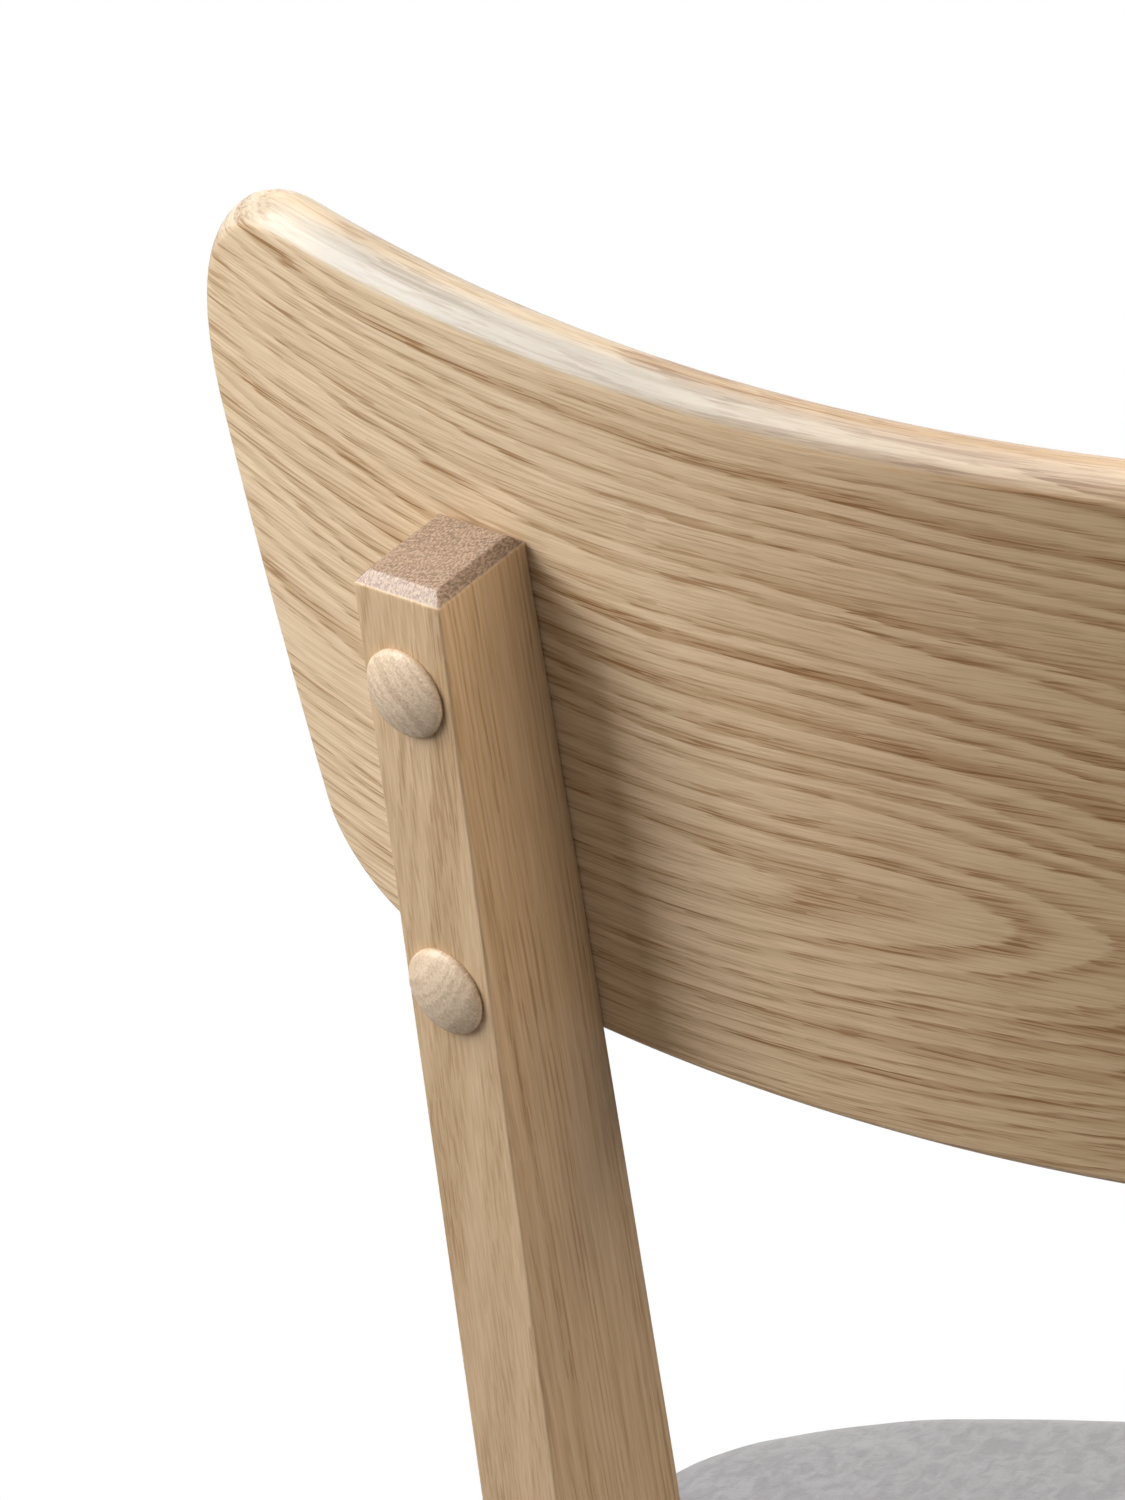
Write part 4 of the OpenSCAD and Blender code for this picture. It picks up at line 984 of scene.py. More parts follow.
stand_for(rear_leg("rear_leg_left_oak", 1, (0, 0, 0)), "oak", "rear_leg_left")
stand_for(rear_leg("rear_leg_right_oak", -1, (170, 35, 12)), "oak", "rear_leg_right")

# %% [markdown]
# A turned button closes each screw hole: a short stem that goes into the leg, a thin rim, and a
# low dome. Four alike, so Geometry Nodes turn one and set it on four points. The rule that turns
# it is a curve of height against distance from the middle, as a lathe's template has.

# %% The lathe's template
BUTTON_D, BUTTON_RIM, BUTTON_DOME, BUTTON_STEM, BORE_D = 19.0, 1.2, 2.4, 6.5, 12.0
TEMPLATE = ((0.0, 1.0), (0.35, 0.89), (0.7, 0.53), (0.9, 0.2), (0.975, 0.02), (1.0, -0.13))
LOWEST = -0.2  # the curve's own scale goes from 0 to 1, and the template's from here to 1
RIM_POINTS, STEM_POINTS, DOME_RINGS = 72, 40, 16

g, given, out = geometry_tree("Turned button", Diameter=0.019, Rim=0.0012, Dome=0.0024,
                              Stem_Diameter=0.0118, Stem=0.0065)
radius = g.times(given["Diameter"], 0.5)
x, y, z = g.split(g.place())
template = g.node("ShaderNodeFloatCurve",
                  Value=g.over(g.vector("LENGTH", g.join(x, y, 0.0)), radius))
curve = template.mapping.curves[0]
knots = [(at, (high - LOWEST) / (1 - LOWEST)) for at, high in TEMPLATE]
curve.points[0].location, curve.points[-1].location = knots[0], knots[-1]
for at, high in knots[1:-1]:
    curve.points.new(at, high)
template.mapping.update()
rise = g.times(g.add(g.times(template.outputs[0], 1 - LOWEST), LOWEST), given["Dome"])
print("template knots:", len(curve.points))

# %% [markdown]
# Each of the four points carries the direction of its button, and a shift into fresh wood, so that
# no two show the same figure.

# %% The tree that turns the buttons
half_rim = g.times(given["Rim"], 0.5)
on_top = g.math("GREATER_THAN", z, g.times(given["Rim"], 0.49))
blank = g.node("GeometryNodeMeshCylinder", fill_type="TRIANGLE_FAN", Vertices=RIM_POINTS,
               Side_Segments=3, Fill_Segments=DOME_RINGS, Radius=radius, Depth=given["Rim"])
domed = g.node("GeometryNodeSetPosition", Geometry=blank.outputs["Mesh"],
               Position=g.join(x, y, g.add(z, half_rim, g.times(rise, on_top))))
stem = g.node("GeometryNodeMeshCylinder", fill_type="TRIANGLE_FAN", Vertices=STEM_POINTS,
              Side_Segments=2, Fill_Segments=1, Radius=g.times(given["Stem Diameter"], 0.5),
              Depth=given["Stem"])
lowered = g.node("GeometryNodeTransform", Geometry=stem.outputs["Mesh"],
                 Translation=g.join(0.0, 0.0, g.times(given["Stem"], -0.4995)))
both = g.node("GeometryNodeJoinGeometry")
for part in (lowered, domed):
    g.put(both.inputs[0], part.outputs[0])
side_x, side_y, out_z = g.split(g.place())
grained = g.store(both.outputs[0], "wood", g.in_mm(g.join(out_z, side_x, side_y)))
turn_to = g.node("FunctionNodeEulerToRotation", g.stored("facing")).outputs[0]
set_on = g.node("GeometryNodeInstanceOnPoints", Points=given["Geometry"], Instance=grained,
                Rotation=turn_to).outputs[0]
real = g.node("GeometryNodeRealizeInstances", set_on).outputs[0]
fresh = g.store(real, "wood", g.vector("ADD", g.stored("wood"), g.stored("shift")))
g.finish(fresh, given, out)
print("tree:", g.tree.name, "nodes:", len(g.tree.nodes))

# %% [markdown]
# The buttons lie on the tapered back faces of the rear legs, so each looks square away from its
# face. They are also spun by different angles, as buttons are that are glued in by hand.

# %% Set the cover buttons on the legs
SCREW_DOWN, SCREW_OUT = (24.6, 93.9), 0.6
SPINS, SHIFTS = (68, 8, 20, 75), ((0, 0, 0), (60, 9, 4), (130, -6, 2), (190, 6, -5))

seats, turns = [], []
taper = math.atan(LEG_TAPER)
for side, down, spin in zip((1, 1, -1, -1), SCREW_DOWN * 2, SPINS):
    surface = LEG_TOP_D + LEG_TAPER * down
    local = np.array([[SCREW_OUT, surface, -down],
                      [SCREW_OUT, surface + math.cos(taper), -down + math.sin(taper)],
                      [SCREW_OUT + 1, surface, -down]])
    p, q, r = from_leg(local) * (side, 1, 1)
    facing, across_dir = Vector(q - p).normalized(), Vector(r - p).normalized() * side
    basis = Matrix((across_dir, facing.cross(across_dir), facing)).transposed()
    seats.append(p)
    turns.append((Matrix.Rotation(math.radians(spin), 3, facing) @ basis).to_euler())
buttons = make_piece("cover_buttons_oak", seats, [], oak_button)
write_numbers(buttons, "facing", turns)
write_numbers(buttons, "shift", SHIFTS)
bake_tree(buttons, g, Diameter=BUTTON_D * MM, Rim=BUTTON_RIM * MM, Dome=BUTTON_DOME * MM,
          Stem_Diameter=(BORE_D - 0.2) * MM, Stem=BUTTON_STEM * MM, Finish=oak_button)
with editing(buttons) as mesh:
    bmesh.ops.remove_doubles(mesh, verts=mesh.verts, dist=1e-6)
shade_smooth(buttons)
print("buttons: open edges", outward(buttons))
stand_for(buttons, "button_oak", "cover_buttons")

# %% [markdown]
# The front legs are square under the seat and taper to the foot, splayed a little. A straight
# tapered leg is a rule as well: a rounded square that follows a short path, with a size at each
# point of it. Geometry Nodes sweep it with Curve to Mesh, and the size scales the profile.

# %% The tree that sweeps a front leg
g, given, out = geometry_tree("Tapered leg", Width=0.034, Edge_Radius=0.0032)
square = g.node("GeometryNodeCurvePrimitiveQuadrilateral", Width=given["Width"],
                Height=given["Width"]).outputs[0]
eased = g.node("GeometryNodeFilletCurve", mode="POLY", Curve=square, Count=7,
               Radius=given["Edge Radius"]).outputs[0]
path = g.node("GeometryNodeMeshToCurve", given["Geometry"]).outputs[0]
swept = g.node("GeometryNodeCurveToMesh", Curve=path, Profile_Curve=eased, Fill_Caps=True,
               Scale=g.stored("size", "FLOAT")).outputs[0]
g.finish(swept, given, out)
print("tree:", g.tree.name, "nodes:", len(g.tree.nodes))

# %% [markdown]
# The path runs from the foot to the top and is drawn in at both ends, which eases the edges
# there. The wood attribute of a straight piece needs no tree: it is each point's place, counted
# along the grain, across it and into it.

# %% Front legs
FRONT_W, FRONT_FOOT_W, FRONT_EDGE_R = 34.0, 24.0, 3.2
FRONT_X, FRONT_Y, FRONT_SPLAY = 184.0, 158.0, 7.0
RAIL_Z, RAIL_H, RAIL_T, RAIL_SET, FELT_ROOM = 410.0, 60.0, 20.0, 4.0, 2.0
SHOULDER_Z = RAIL_Z - RAIL_H - 4
FRONT_TOP_Z = RAIL_Z - FELT_ROOM
WHOLE_LEVELS = (GLIDE_H + 0.8, GLIDE_H + 1.6, *np.linspace(40, SHOULDER_Z, 12), RAIL_Z - 40,
                FRONT_TOP_Z - 0.8)
front_tree = g


def straight_wood(piece, origin, along_axis, across_axis, shift):
    """Writes the wood attribute of a straight piece from its place in the chair."""
    co = np.array([v.co for v in piece.data.vertices]) / MM - np.array(origin)
    along_axis, across_axis = np.array(along_axis, float), np.array(across_axis, float)
    third = np.cross(along_axis, across_axis)
    write_numbers(piece, "wood",
                  np.column_stack([co @ along_axis, co @ across_axis, co @ third]) + shift)


def front_leg(name, side, shift):
    stops = [(GLIDE_H, 0.955), *[(z, 1.0) for z in WHOLE_LEVELS], (FRONT_TOP_Z, 0.97)]
    line, sizes = [], []
    for z, share in stops:
        t = min(1.0, (SHOULDER_Z - z) / (SHOULDER_Z - GLIDE_H)) if z < SHOULDER_Z else 0.0
        line.append((side * (FRONT_X + FRONT_SPLAY * t), -FRONT_Y - FRONT_SPLAY * t, z))
        sizes.append(share * (FRONT_W + (FRONT_FOOT_W - FRONT_W) * t) / FRONT_W)
    leg = make_piece(name, line, [], oak_plain, edges=[(k, k + 1) for k in range(len(line) - 1)])
    write_numbers(leg, "size", sizes)
    bake_tree(leg, front_tree, Width=FRONT_W * MM, Edge_Radius=FRONT_EDGE_R * MM,
              Finish=oak_plain)
    shade_smooth(leg, lambda face: abs(face.normal.z) < 0.9)
    straight_wood(leg, (side * FRONT_X, -FRONT_Y, 0), (0, 0, 1), (1, 0, 0), shift)
    print(name, "open edges", outward(leg), "width mm", round(leg.dimensions.x / MM, 1))
    return leg


stand_for(front_leg("front_leg_left_oak", 1, (0, 0, 0)), "oak", "front_leg_left")
stand_for(front_leg("front_leg_right_oak", -1, (220, 31, 17)), "oak", "front_leg_right")

# %% [markdown]
# The four rails are planed boards with eased edges, cut at their ends to fit the legs. Each one is
# the hull of a few corner points, cut at the angles of the legs, with a small bevel on its edges.

# %% Where the rails lie
half_t = RAIL_T / 2
leg_out = np.array((math.cos(leg_turn), -math.sin(leg_turn)))
leg_inner = np.array((leg_x, block_y0)) - leg_out * LEG_W / 2
rear_rail_y = (leg_mid - leg_out * LEG_W / 2)[1]
front_face_y, front_back_y = -FRONT_Y - FRONT_W / 2, -FRONT_Y + FRONT_W / 2
front_inner_x, front_rail_y = FRONT_X - FRONT_W / 2, front_face_y + RAIL_SET + half_t
side_start = np.array((FRONT_X + FRONT_W / 2 - RAIL_SET - half_t, front_back_y))
side_turn = math.atan((side_start[0] - leg_x) / (block_y0 - side_start[1]))
side_along = np.array((-math.sin(side_turn), math.cos(side_turn)))
side_out = np.array((math.cos(side_turn), math.sin(side_turn)))


def leg_inner_x(y):
    """Where the inner side of the left rear leg lies, at that y."""
    return leg_inner[0] + (y - leg_inner[1]) * math.tan(leg_turn)


def leg_front_y(x):
    """Where the front face of the left rear leg lies, at that x."""
    return block_y0 - (x - leg_x) * math.tan(leg_turn)


def side_corner(outward_by, at_leg):
    """A corner of the left side rail: at the front leg, or walked back to the rear leg."""
    p = side_start + side_out * outward_by
    if not at_leg:
        return p + side_along * (front_back_y - p[1]) / side_along[1]
    t = 0.0
    for _ in range(30):
        q = p + side_along * t
        t += leg_front_y(q[0]) - q[1]
    return p + side_along * t


print("rear rail at y", round(rear_rail_y, 1), "side rails turned",
      round(math.degrees(side_turn), 1))

# %% [markdown]
# The seat rests on the front and side rails. The rear rail and the front legs end a little
# lower, which leaves room for the felt that is folded under the board.

# %% Rails
RAIL_EASE, SMALL_FACE = 1.2, 3e-4


def rail(name, corners, high, along_axis, shift):
    low, k = RAIL_Z - RAIL_H, len(corners)
    faces = [tuple(range(k))[::-1], tuple(range(k, 2 * k))] + skin(2, k)
    board = make_piece(name, [(x, y, z) for z in (low, high) for x, y in corners], faces, oak_plain)
    outward(board)
    with editing(board) as mesh:
        bmesh.ops.bevel(mesh, geom=mesh.edges[:], offset=RAIL_EASE * MM, segments=3, profile=0.5,
                        affect="EDGES")
    shade_smooth(board, lambda face: face.area < SMALL_FACE)
    straight_wood(board, (*corners[0], low), along_axis, (0, 0, 1), shift)
    print(name, "open edges", outward(board))
    return board


def across_rail(name, corner_at, middle_y, high, shift):
    """A rail along x: its ends lie at corner_at(y) on both sides."""
    y1, y2 = middle_y - half_t, middle_y + half_t
    x1, x2 = corner_at(y1), corner_at(y2)
    return rail(name, [(-x1, y1), (x1, y1), (x2, y2), (-x2, y2)], high, (1, 0, 0), shift)


front_rail = across_rail("front_rail_oak", lambda y: front_inner_x, front_rail_y, RAIL_Z,
                         (40, -20, 9))
rear_rail = across_rail("rear_rail_oak", leg_inner_x, rear_rail_y, RAIL_Z - FELT_ROOM,
                        (500, 10, 3))
for side, end, shift in ((1, "left", (900, 40, 5)), (-1, "right", (1300, -30, 12))):
    corners = [side_corner(by, at_leg) for by, at_leg in
               ((-half_t, False), (half_t, False), (half_t, True), (-half_t, True))]
    board = rail(f"side_rail_{end}_oak", [(side * x, y) for x, y in corners][::side], RAIL_Z,
                 (-side * side_along[0], side_along[1], 0), shift)
    stand_for(board, "oak", f"side_rail_{end}")
stand_for(front_rail, "oak", "front_rail")
stand_for(rear_rail, "oak", "rear_rail")

# %% [markdown]
# The seat pad has three layers: a plywood board, a slab of foam, and felt that is pulled over both
# and stapled under the board. The outline is made of arcs that meet without a corner, two for each
# side and one across the front and the back. Every ring of the pad is this outline drawn in.

# %% Outline of the seat
SEAT_HALF, SEAT_FRONT, SEAT_REAR, SEAT_REAR_HALF = 252.0, 239.5, 142.5, 203.0
SEAT_FRONT_R, SEAT_CORNER_R, SEAT_REAR_CORNER_R, SEAT_REAR_R = 508.0, 93.0, 46.0, 300.0
ARC_STEPS = (20, 32, 24, 20)
seat_mid_y = (SEAT_REAR - SEAT_FRONT) / 2


def seat_outline(inset):
    front_mid, rear_mid = (0, SEAT_FRONT_R - SEAT_FRONT), (0, SEAT_REAR - SEAT_REAR_R)
    cx, rx = SEAT_HALF - SEAT_CORNER_R, SEAT_REAR_HALF - SEAT_REAR_CORNER_R
    corner = (cx, front_mid[1] - math.sqrt((SEAT_FRONT_R - SEAT_CORNER_R) ** 2 - cx ** 2))
    rear = (rx, rear_mid[1] + math.sqrt((SEAT_REAR_R - SEAT_REAR_CORNER_R) ** 2 - rx ** 2))
    gap = np.array(rear) - np.array(corner)
    side_normal = math.atan2(gap[1], gap[0]) - math.acos(
        (SEAT_CORNER_R - SEAT_REAR_CORNER_R) / np.linalg.norm(gap))
    angles = (-math.pi / 2, math.atan2(corner[1] - front_mid[1], corner[0]), side_normal,
              math.atan2(rear[1] - rear_mid[1], rear[0]), math.pi / 2)
    rows = []
    for mid, r, a0, a1, steps in zip((front_mid, corner, rear, rear_mid),
                                     (SEAT_FRONT_R, SEAT_CORNER_R, SEAT_REAR_CORNER_R,
                                      SEAT_REAR_R), angles, angles[1:], ARC_STEPS):
        for k in range(steps):
            a = a0 + (a1 - a0) * k / steps
            rows.append(np.array(mid) + (r - inset) * np.array((math.cos(a), math.sin(a))))
    half = np.array(rows + [(0, SEAT_REAR - inset)])
    return np.vstack([half, half[-2:0:-1] * (-1, 1)])


line = seat_outline(0)
print("outline points:", len(line), "seat mm:", np.round(np.ptp(line, axis=0), 1))

# %% [markdown]
# A pad is a loft of such rings, closed by a point at the bottom and one at the crown. Its side
# turns over into the top along a quarter of an ellipse, and the top is a low dome, highest in the
# middle. The felt and the foam in it share this shape with different sizes.

# %% Shapes of a pad
SEAT_EDGE_H, SEAT_CROWN, SEAT_BULGE_H, SEAT_SHOULDER = 38.0, 6.5, 20.0, 16.0
SHOULDER_STEPS, CROWN_STEPS = 9, 14


def ring_at(inset, z, share=1.0):
    line = seat_outline(inset)
    return np.column_stack([line[:, 0] * share, seat_mid_y + (line[:, 1] - seat_mid_y) * share,
                            np.full(len(line), z)])


def crown_rings(skin_t, edge_h, crown, shrink=0.0):
    rows = []
    for a in np.radians(np.linspace(0, 90, SHOULDER_STEPS + 1)):
        rows.append(ring_at(skin_t + shrink + (SEAT_SHOULDER - skin_t) * (1 - math.cos(a)),
                            RAIL_Z + SEAT_BULGE_H
                            + (edge_h - SEAT_BULGE_H - skin_t) * math.sin(a)))
    for k in range(1, CROWN_STEPS):
        t = 1 - k / CROWN_STEPS
        rows.append(ring_at(SEAT_SHOULDER + shrink,
                            RAIL_Z + edge_h - skin_t + crown * (1 - t * t), t))
    return rows


def pad_shape(name, rings, low_tip_z, high_tip_z, finish):
    n, tips = len(rings[0]), [(0, seat_mid_y, low_tip_z), (0, seat_mid_y, high_tip_z)]
    points, faces = np.vstack(rings + [tips]), skin(len(rings), n)
    last, low_tip = (len(rings) - 1) * n, len(rings) * n
    faces += [((k + 1) % n, k, low_tip) for k in range(n)]
    faces += [(last + k, last + (k + 1) % n, low_tip + 1) for k in range(n)]
    made = make_piece(name, points, faces, finish)
    print(name, "open edges", outward(made))
    return made


print("crown rings:", len(crown_rings(0.0, SEAT_EDGE_H, SEAT_CROWN)))

# %% [markdown]
# Felt is wool fibres pressed into a mat: no weave, a soft mottling where fibres of two greys have
# mixed, and a fine fuzz that catches light at the rim, which the shader's sheen gives. The dust
# cover is a thin dark fleece, so it shares the felt's fibres, with a bonded dot pattern on them.

# %% Pressed fibres
g, given, out = new_group(
    "Pressed fibres", "ShaderNodeTree",
    dict(Place="Vector", Light=colour(0.5, 0.5, 0.5), Dark=colour(0.4, 0.4, 0.4),
         Patch_Size=9.0, Fibre_Size=0.8),
    dict(Color="Color", Height="Float"))
patch_rate = g.over(1.0, given["Patch Size"])
fibre_rate = g.over(1.0, given["Fibre Size"])
patches = g.noise(g.scaled(given["Place"], 1.0, 0.45, 1.0), 3.0, 0.62, patch_rate, 0.6)
tufts = g.noise(given["Place"], 3.0, 0.65, fibre_rate, 1.2)
elsewhere = g.vector("ADD", g.scaled(given["Place"], 1.0, 0.25, 1.0), (7.0, 3.0, 1.0))
strands = g.noise(elsewhere, 2.0, 0.6, fibre_rate, 2.0)
mixed = g.add(g.times(g.range(patches, 0.34, 0.66, smooth=True), 0.62),
              g.times(g.range(tufts, 0.3, 0.7), 0.38))
grey = g.range(strands, 0.3, 0.7, 0.94, 1.06)
g.put(out["Color"], g.tinted(g.blend(mixed, given["Dark"], given["Light"]),
                             g.node("ShaderNodeCombineColor", grey, grey, grey).outputs[0]))
g.put(out["Height"], g.add(g.times(tufts, 0.7), g.times(patches, 0.6)))
print("group:", g.tree.name, "nodes:", len(g.tree.nodes))

# %% [markdown]
# The felt and the fleece place these fibres with their own greys. The foam's skin shows small
# cells instead, and the fleece has its dots over the fibres.

# %% Felt, foam and fleece
def cloth_shader(name, roughness, sheen=0.0):
    material, g, shader = new_finish(name, Roughness=roughness, Specular_IOR_Level=0.2,
                                     Sheen_Weight=sheen, Sheen_Roughness=0.45)
    return material, g, shader, g.object_place()


felt, g, shader, place = cloth_shader("wool_felt", 0.95, sheen=0.4)
fibres = g.group("Pressed fibres", Place=place, Light=colour(0.312, 0.309, 0.33),
                 Dark=colour(0.205, 0.203, 0.218), Patch_Size=4.5)
g.put(shader["Base Color"], fibres["Color"])
g.put(shader["Normal"], g.relief(fibres["Height"], 0.4, 0.6))

foam, g, shader, place = cloth_shader("cushion_foam", 0.9)
cells = g.node("ShaderNodeTexVoronoi", place, Scale=0.9)
walls = g.range(cells.outputs["Distance"], 0.1, 0.6, smooth=True)
g.put(shader["Base Color"], g.blend(walls, colour(0.86, 0.80, 0.58), colour(0.68, 0.60, 0.38)))
g.put(shader["Normal"], g.relief(g.minus(1.0, walls), 0.5, 0.5))

fleece, g, shader, place = cloth_shader("dust_fleece", 0.92)
fibres = g.group("Pressed fibres", Place=place, Light=colour(0.03, 0.03, 0.034),
                 Dark=colour(0.014, 0.014, 0.016), Patch_Size=5.0, Fibre_Size=0.5)
dots = g.node("ShaderNodeTexVoronoi", place, feature="F1", Scale=0.5, Randomness=0.0)
spot = g.range(dots.outputs["Distance"], 0.18, 0.3, smooth=True)
g.put(shader["Base Color"], g.blend(spot, colour(0.045, 0.045, 0.05), fibres["Color"]))
g.put(shader["Normal"], g.relief(g.add(spot, g.times(fibres["Height"], 0.4)), 0.5, 0.3))
print("cloth finishes:", felt.name, foam.name, fleece.name)

# %% [markdown]
# The felt is padded cloth, so its shape comes from a cloth simulation. It starts as a closed pad
# of nearly its full size, is remeshed into even squares, and is pressed out gently from inside, as
# the foam does when it pushes against the cover. The felt is stiff and stretched tight, so it
# hardly gives: no point moves further than the cap, which is about a millimetre, and those under
# the board stay where they are.

# %% Press out the seat cover
FELT_T, START_INSET, START_EDGE, START_CROWN = 1.6, 0.8, 39.0, 5.3
UNDER = ((60, -FELT_T), (30, -FELT_T), (8, -FELT_T), (4.8, -FELT_T), (3.2, 1.5), (2.4, 5),
         (1.8, 11))  # inset and height over the rails
SQUARE, PINNED_BELOW, CLOTH_FRAMES, CAP = 6, 6, 20, 1.2
CLOTH = dict(quality=6, mass=0.35, tension_stiffness=25, compression_stiffness=25,
             bending_stiffness=2.0, use_pressure=True, uniform_pressure_force=2.0,
             vertex_group_mass="pins")


def places_of(piece):
    co = np.zeros(len(piece.data.vertices) * 3, np.float32)
    piece.data.vertices.foreach_get("co", co)
    return co.reshape(-1, 3).astype(float)


def move_to(piece, places):
    piece.data.vertices.foreach_set("co", places.astype(np.float32).ravel())
    piece.data.update()


def apply_modifier(piece, kind, name, **settings):
    made = piece.modifiers.new(name, kind)
    for label, value in settings.items():
        setattr(made, label, value)
    with bpy.context.temp_override(object=piece, active_object=piece):
        bpy.ops.object.modifier_apply(modifier=made.name)


def press_out(piece, start):
    """Runs the cloth, keeps its shape, and caps how far each point has moved."""
    cloth = piece.modifiers.new("cloth", "CLOTH")
    for label, value in CLOTH.items():
        setattr(cloth.settings, label, value)
    cloth.settings.effector_weights.gravity = 0
    cloth.collision_settings.use_collision = False
    for step in range(1, CLOTH_FRAMES + 1):
        bpy.context.scene.frame_set(step)
    graph = bpy.context.evaluated_depsgraph_get()
    blown = bpy.data.meshes.new_from_object(piece.evaluated_get(graph), depsgraph=graph)
    piece.modifiers.clear()
    piece.data = blown
    move = places_of(piece) - start
    size = np.linalg.norm(move, axis=1)
    print("cloth moved its points by up to", round(size.max() / MM, 1), "mm; middle",
          round(float(np.median(size)) / MM, 2))
    cap = CAP * MM
    share = cap * np.tanh(size / cap) / np.maximum(size, 1e-9)
    move_to(piece, start + move * share[:, None])
    bpy.context.scene.frame_set(1)


rings = [ring_at(inset, RAIL_Z + z) for inset, z in UNDER]
rings += crown_rings(0.0, START_EDGE, START_CROWN, START_INSET)
cover = pad_shape("seat_cover_felt", rings, RAIL_Z - FELT_T, RAIL_Z + START_EDGE + START_CROWN,
                  felt)
apply_modifier(cover, "REMESH", "even squares", mode="VOXEL", voxel_size=SQUARE * MM,
               use_smooth_shade=True)
start = places_of(cover)
pins = cover.vertex_groups.new(name="pins")
pinned = np.flatnonzero(start[:, 2] < (RAIL_Z + PINNED_BELOW) * MM)
pins.add([int(i) for i in pinned], 1.0, "REPLACE")
press_out(cover, start)
cover.vertex_groups.clear()
low, high = places_of(cover).min(0) / MM, places_of(cover).max(0) / MM
print("pad box mm:", np.round(low, 1), np.round(high, 1))

# %% [markdown]
# The simulated pad is fitted to the size of its solid, because the felt is stretched over a board
# of a fixed size. Its bottom is then cut open inside the fold, along a true line.

# %% Fit and open the felt
FELT_FOLD, BOARD_INSET, LIFT_FROM, LIFT_SPAN = 18.0, FELT_T + 4.2, 10, 20

co = places_of(cover) / MM
target_low, target_high = (np.array(corner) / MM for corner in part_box("seat_cover"))
for axis in (0, 1):
    share = (co[:, axis] - low[axis]) / (high[axis] - low[axis])
    co[:, axis] = share * (target_high[axis] - target_low[axis]) + target_low[axis]
co[:, 2] += np.clip((co[:, 2] - RAIL_Z - LIFT_FROM) / LIFT_SPAN, 0, 1) * (target_high[2] - high[2])
move_to(cover, co * MM)
fold_line = seat_outline(BOARD_INSET + FELT_FOLD)


def inside(points, line):
    """True for the points that lie inside a closed outline."""
    hit = np.zeros(len(points), bool)
    for (x1, y1), (x2, y2) in zip(line, np.roll(line, -1, axis=0)):
        if y1 == y2:
            continue
        crosses = (y1 > points[:, 1]) != (y2 > points[:, 1])
        hit ^= crosses & (points[:, 0] < (x2 - x1) * (points[:, 1] - y1) / (y2 - y1) + x1)
    return hit


with editing(cover) as mesh:
    mesh.faces.ensure_lookup_table()
    centres = np.array([f.calc_center_median() for f in mesh.faces]) / MM
    low_face = (centres[:, 2] < RAIL_Z + 1) & inside(centres[:, :2], fold_line)
    bmesh.ops.delete(mesh, geom=[mesh.faces[i] for i in np.flatnonzero(low_face)],
                     context="FACES")
    for v in mesh.verts:
        if v.is_boundary:
            away = np.linalg.norm(fold_line - np.array(v.co)[:2] / MM, axis=1)
            v.co.x, v.co.y = fold_line[np.argmin(away)] * MM
print("faces cut out:", np.count_nonzero(low_face))

# %% [markdown]
# Smoothing settles what the squares left, one subdivision rounds it, and the felt gets its
# thickness inwards, so that its outside keeps its size.

# %% Thicken the felt
apply_modifier(cover, "SMOOTH", "settle", factor=0.5, iterations=6)
apply_modifier(cover, "SUBSURF", "smooth", levels=1, render_levels=1)
apply_modifier(cover, "SOLIDIFY", "felt", thickness=FELT_T * MM, offset=-1.0)
shade_smooth(cover)
print("felt: open edges", outward(cover), "faces", len(cover.data.polygons))
stand_for(cover, "felt", "seat_cover")

# %% [markdown]
# The foam slab fills the cover. Nobody sees it, but a part that is taken apart should have it, so
# it gets the crowned shape of the pad, drawn in by the felt, and its own cells.

# %% Foam slab
SOFT_GAP, SLACK, BOARD_T = 0.3, 4.0, 12.0
skin_t = FELT_T + SOFT_GAP
foam_edge = SEAT_EDGE_H - SLACK
rings = [ring_at(skin_t + SLACK + 1, RAIL_Z + BOARD_T),
         ring_at(skin_t + SLACK + 0.4, RAIL_Z + BOARD_T + 3)]
rings += crown_rings(skin_t, foam_edge, SEAT_CROWN, SLACK)
slab = pad_shape("seat_foam_slab", rings, RAIL_Z + BOARD_T,
                 RAIL_Z + foam_edge - skin_t + SEAT_CROWN, foam)
stand_for(slab, "foam", "seat_foam")

# %% [markdown]
# Under the board a dust cover closes the seat. It is cut as an eight-sided sheet and stretched
# flat, so it hardly sags. It is a grid cut to that outline, with a fleece's thickness.

# %% Dust cover
DUST_GAP, DUST_CUT, DUST_SLANT, SQUARES = 3.0, 90.0, 78.0, 32
FLEECE_T, DUST_BELOW, DUST_SAG = 0.4, 0.2, 0.35

inner_front, inner_rear = front_rail_y + half_t, rear_rail_y - half_t
side_inner_x = side_start[0] - (inner_rear - front_back_y) * math.tan(side_turn) \
    - half_t / math.cos(side_turn)
dust_x = side_inner_x - DUST_GAP
dust_front, dust_rear = inner_front + DUST_GAP, inner_rear - DUST_GAP
points = []
for y in np.linspace(dust_front, dust_rear, SQUARES + 1):
    cut_in = max(0.0, dust_front + DUST_CUT - y, y - (dust_rear - DUST_CUT))
    edge_x = dust_x - DUST_SLANT * cut_in / DUST_CUT
    v = 2 * (y - dust_front) / (dust_rear - dust_front) - 1
    for u in np.linspace(-1, 1, SQUARES + 1):
        sag = DUST_SAG * max(0.0, (1 - u * u) * (1 - v * v))
        points.append((u * edge_x, y, RAIL_Z - DUST_BELOW - sag))
row = SQUARES + 1
faces = [(r * row + k, r * row + k + 1, (r + 1) * row + k + 1, (r + 1) * row + k)
         for r in range(SQUARES) for k in range(SQUARES)]
dust = make_piece("dust_cover_fleece", points, faces, fleece)
outward(dust)
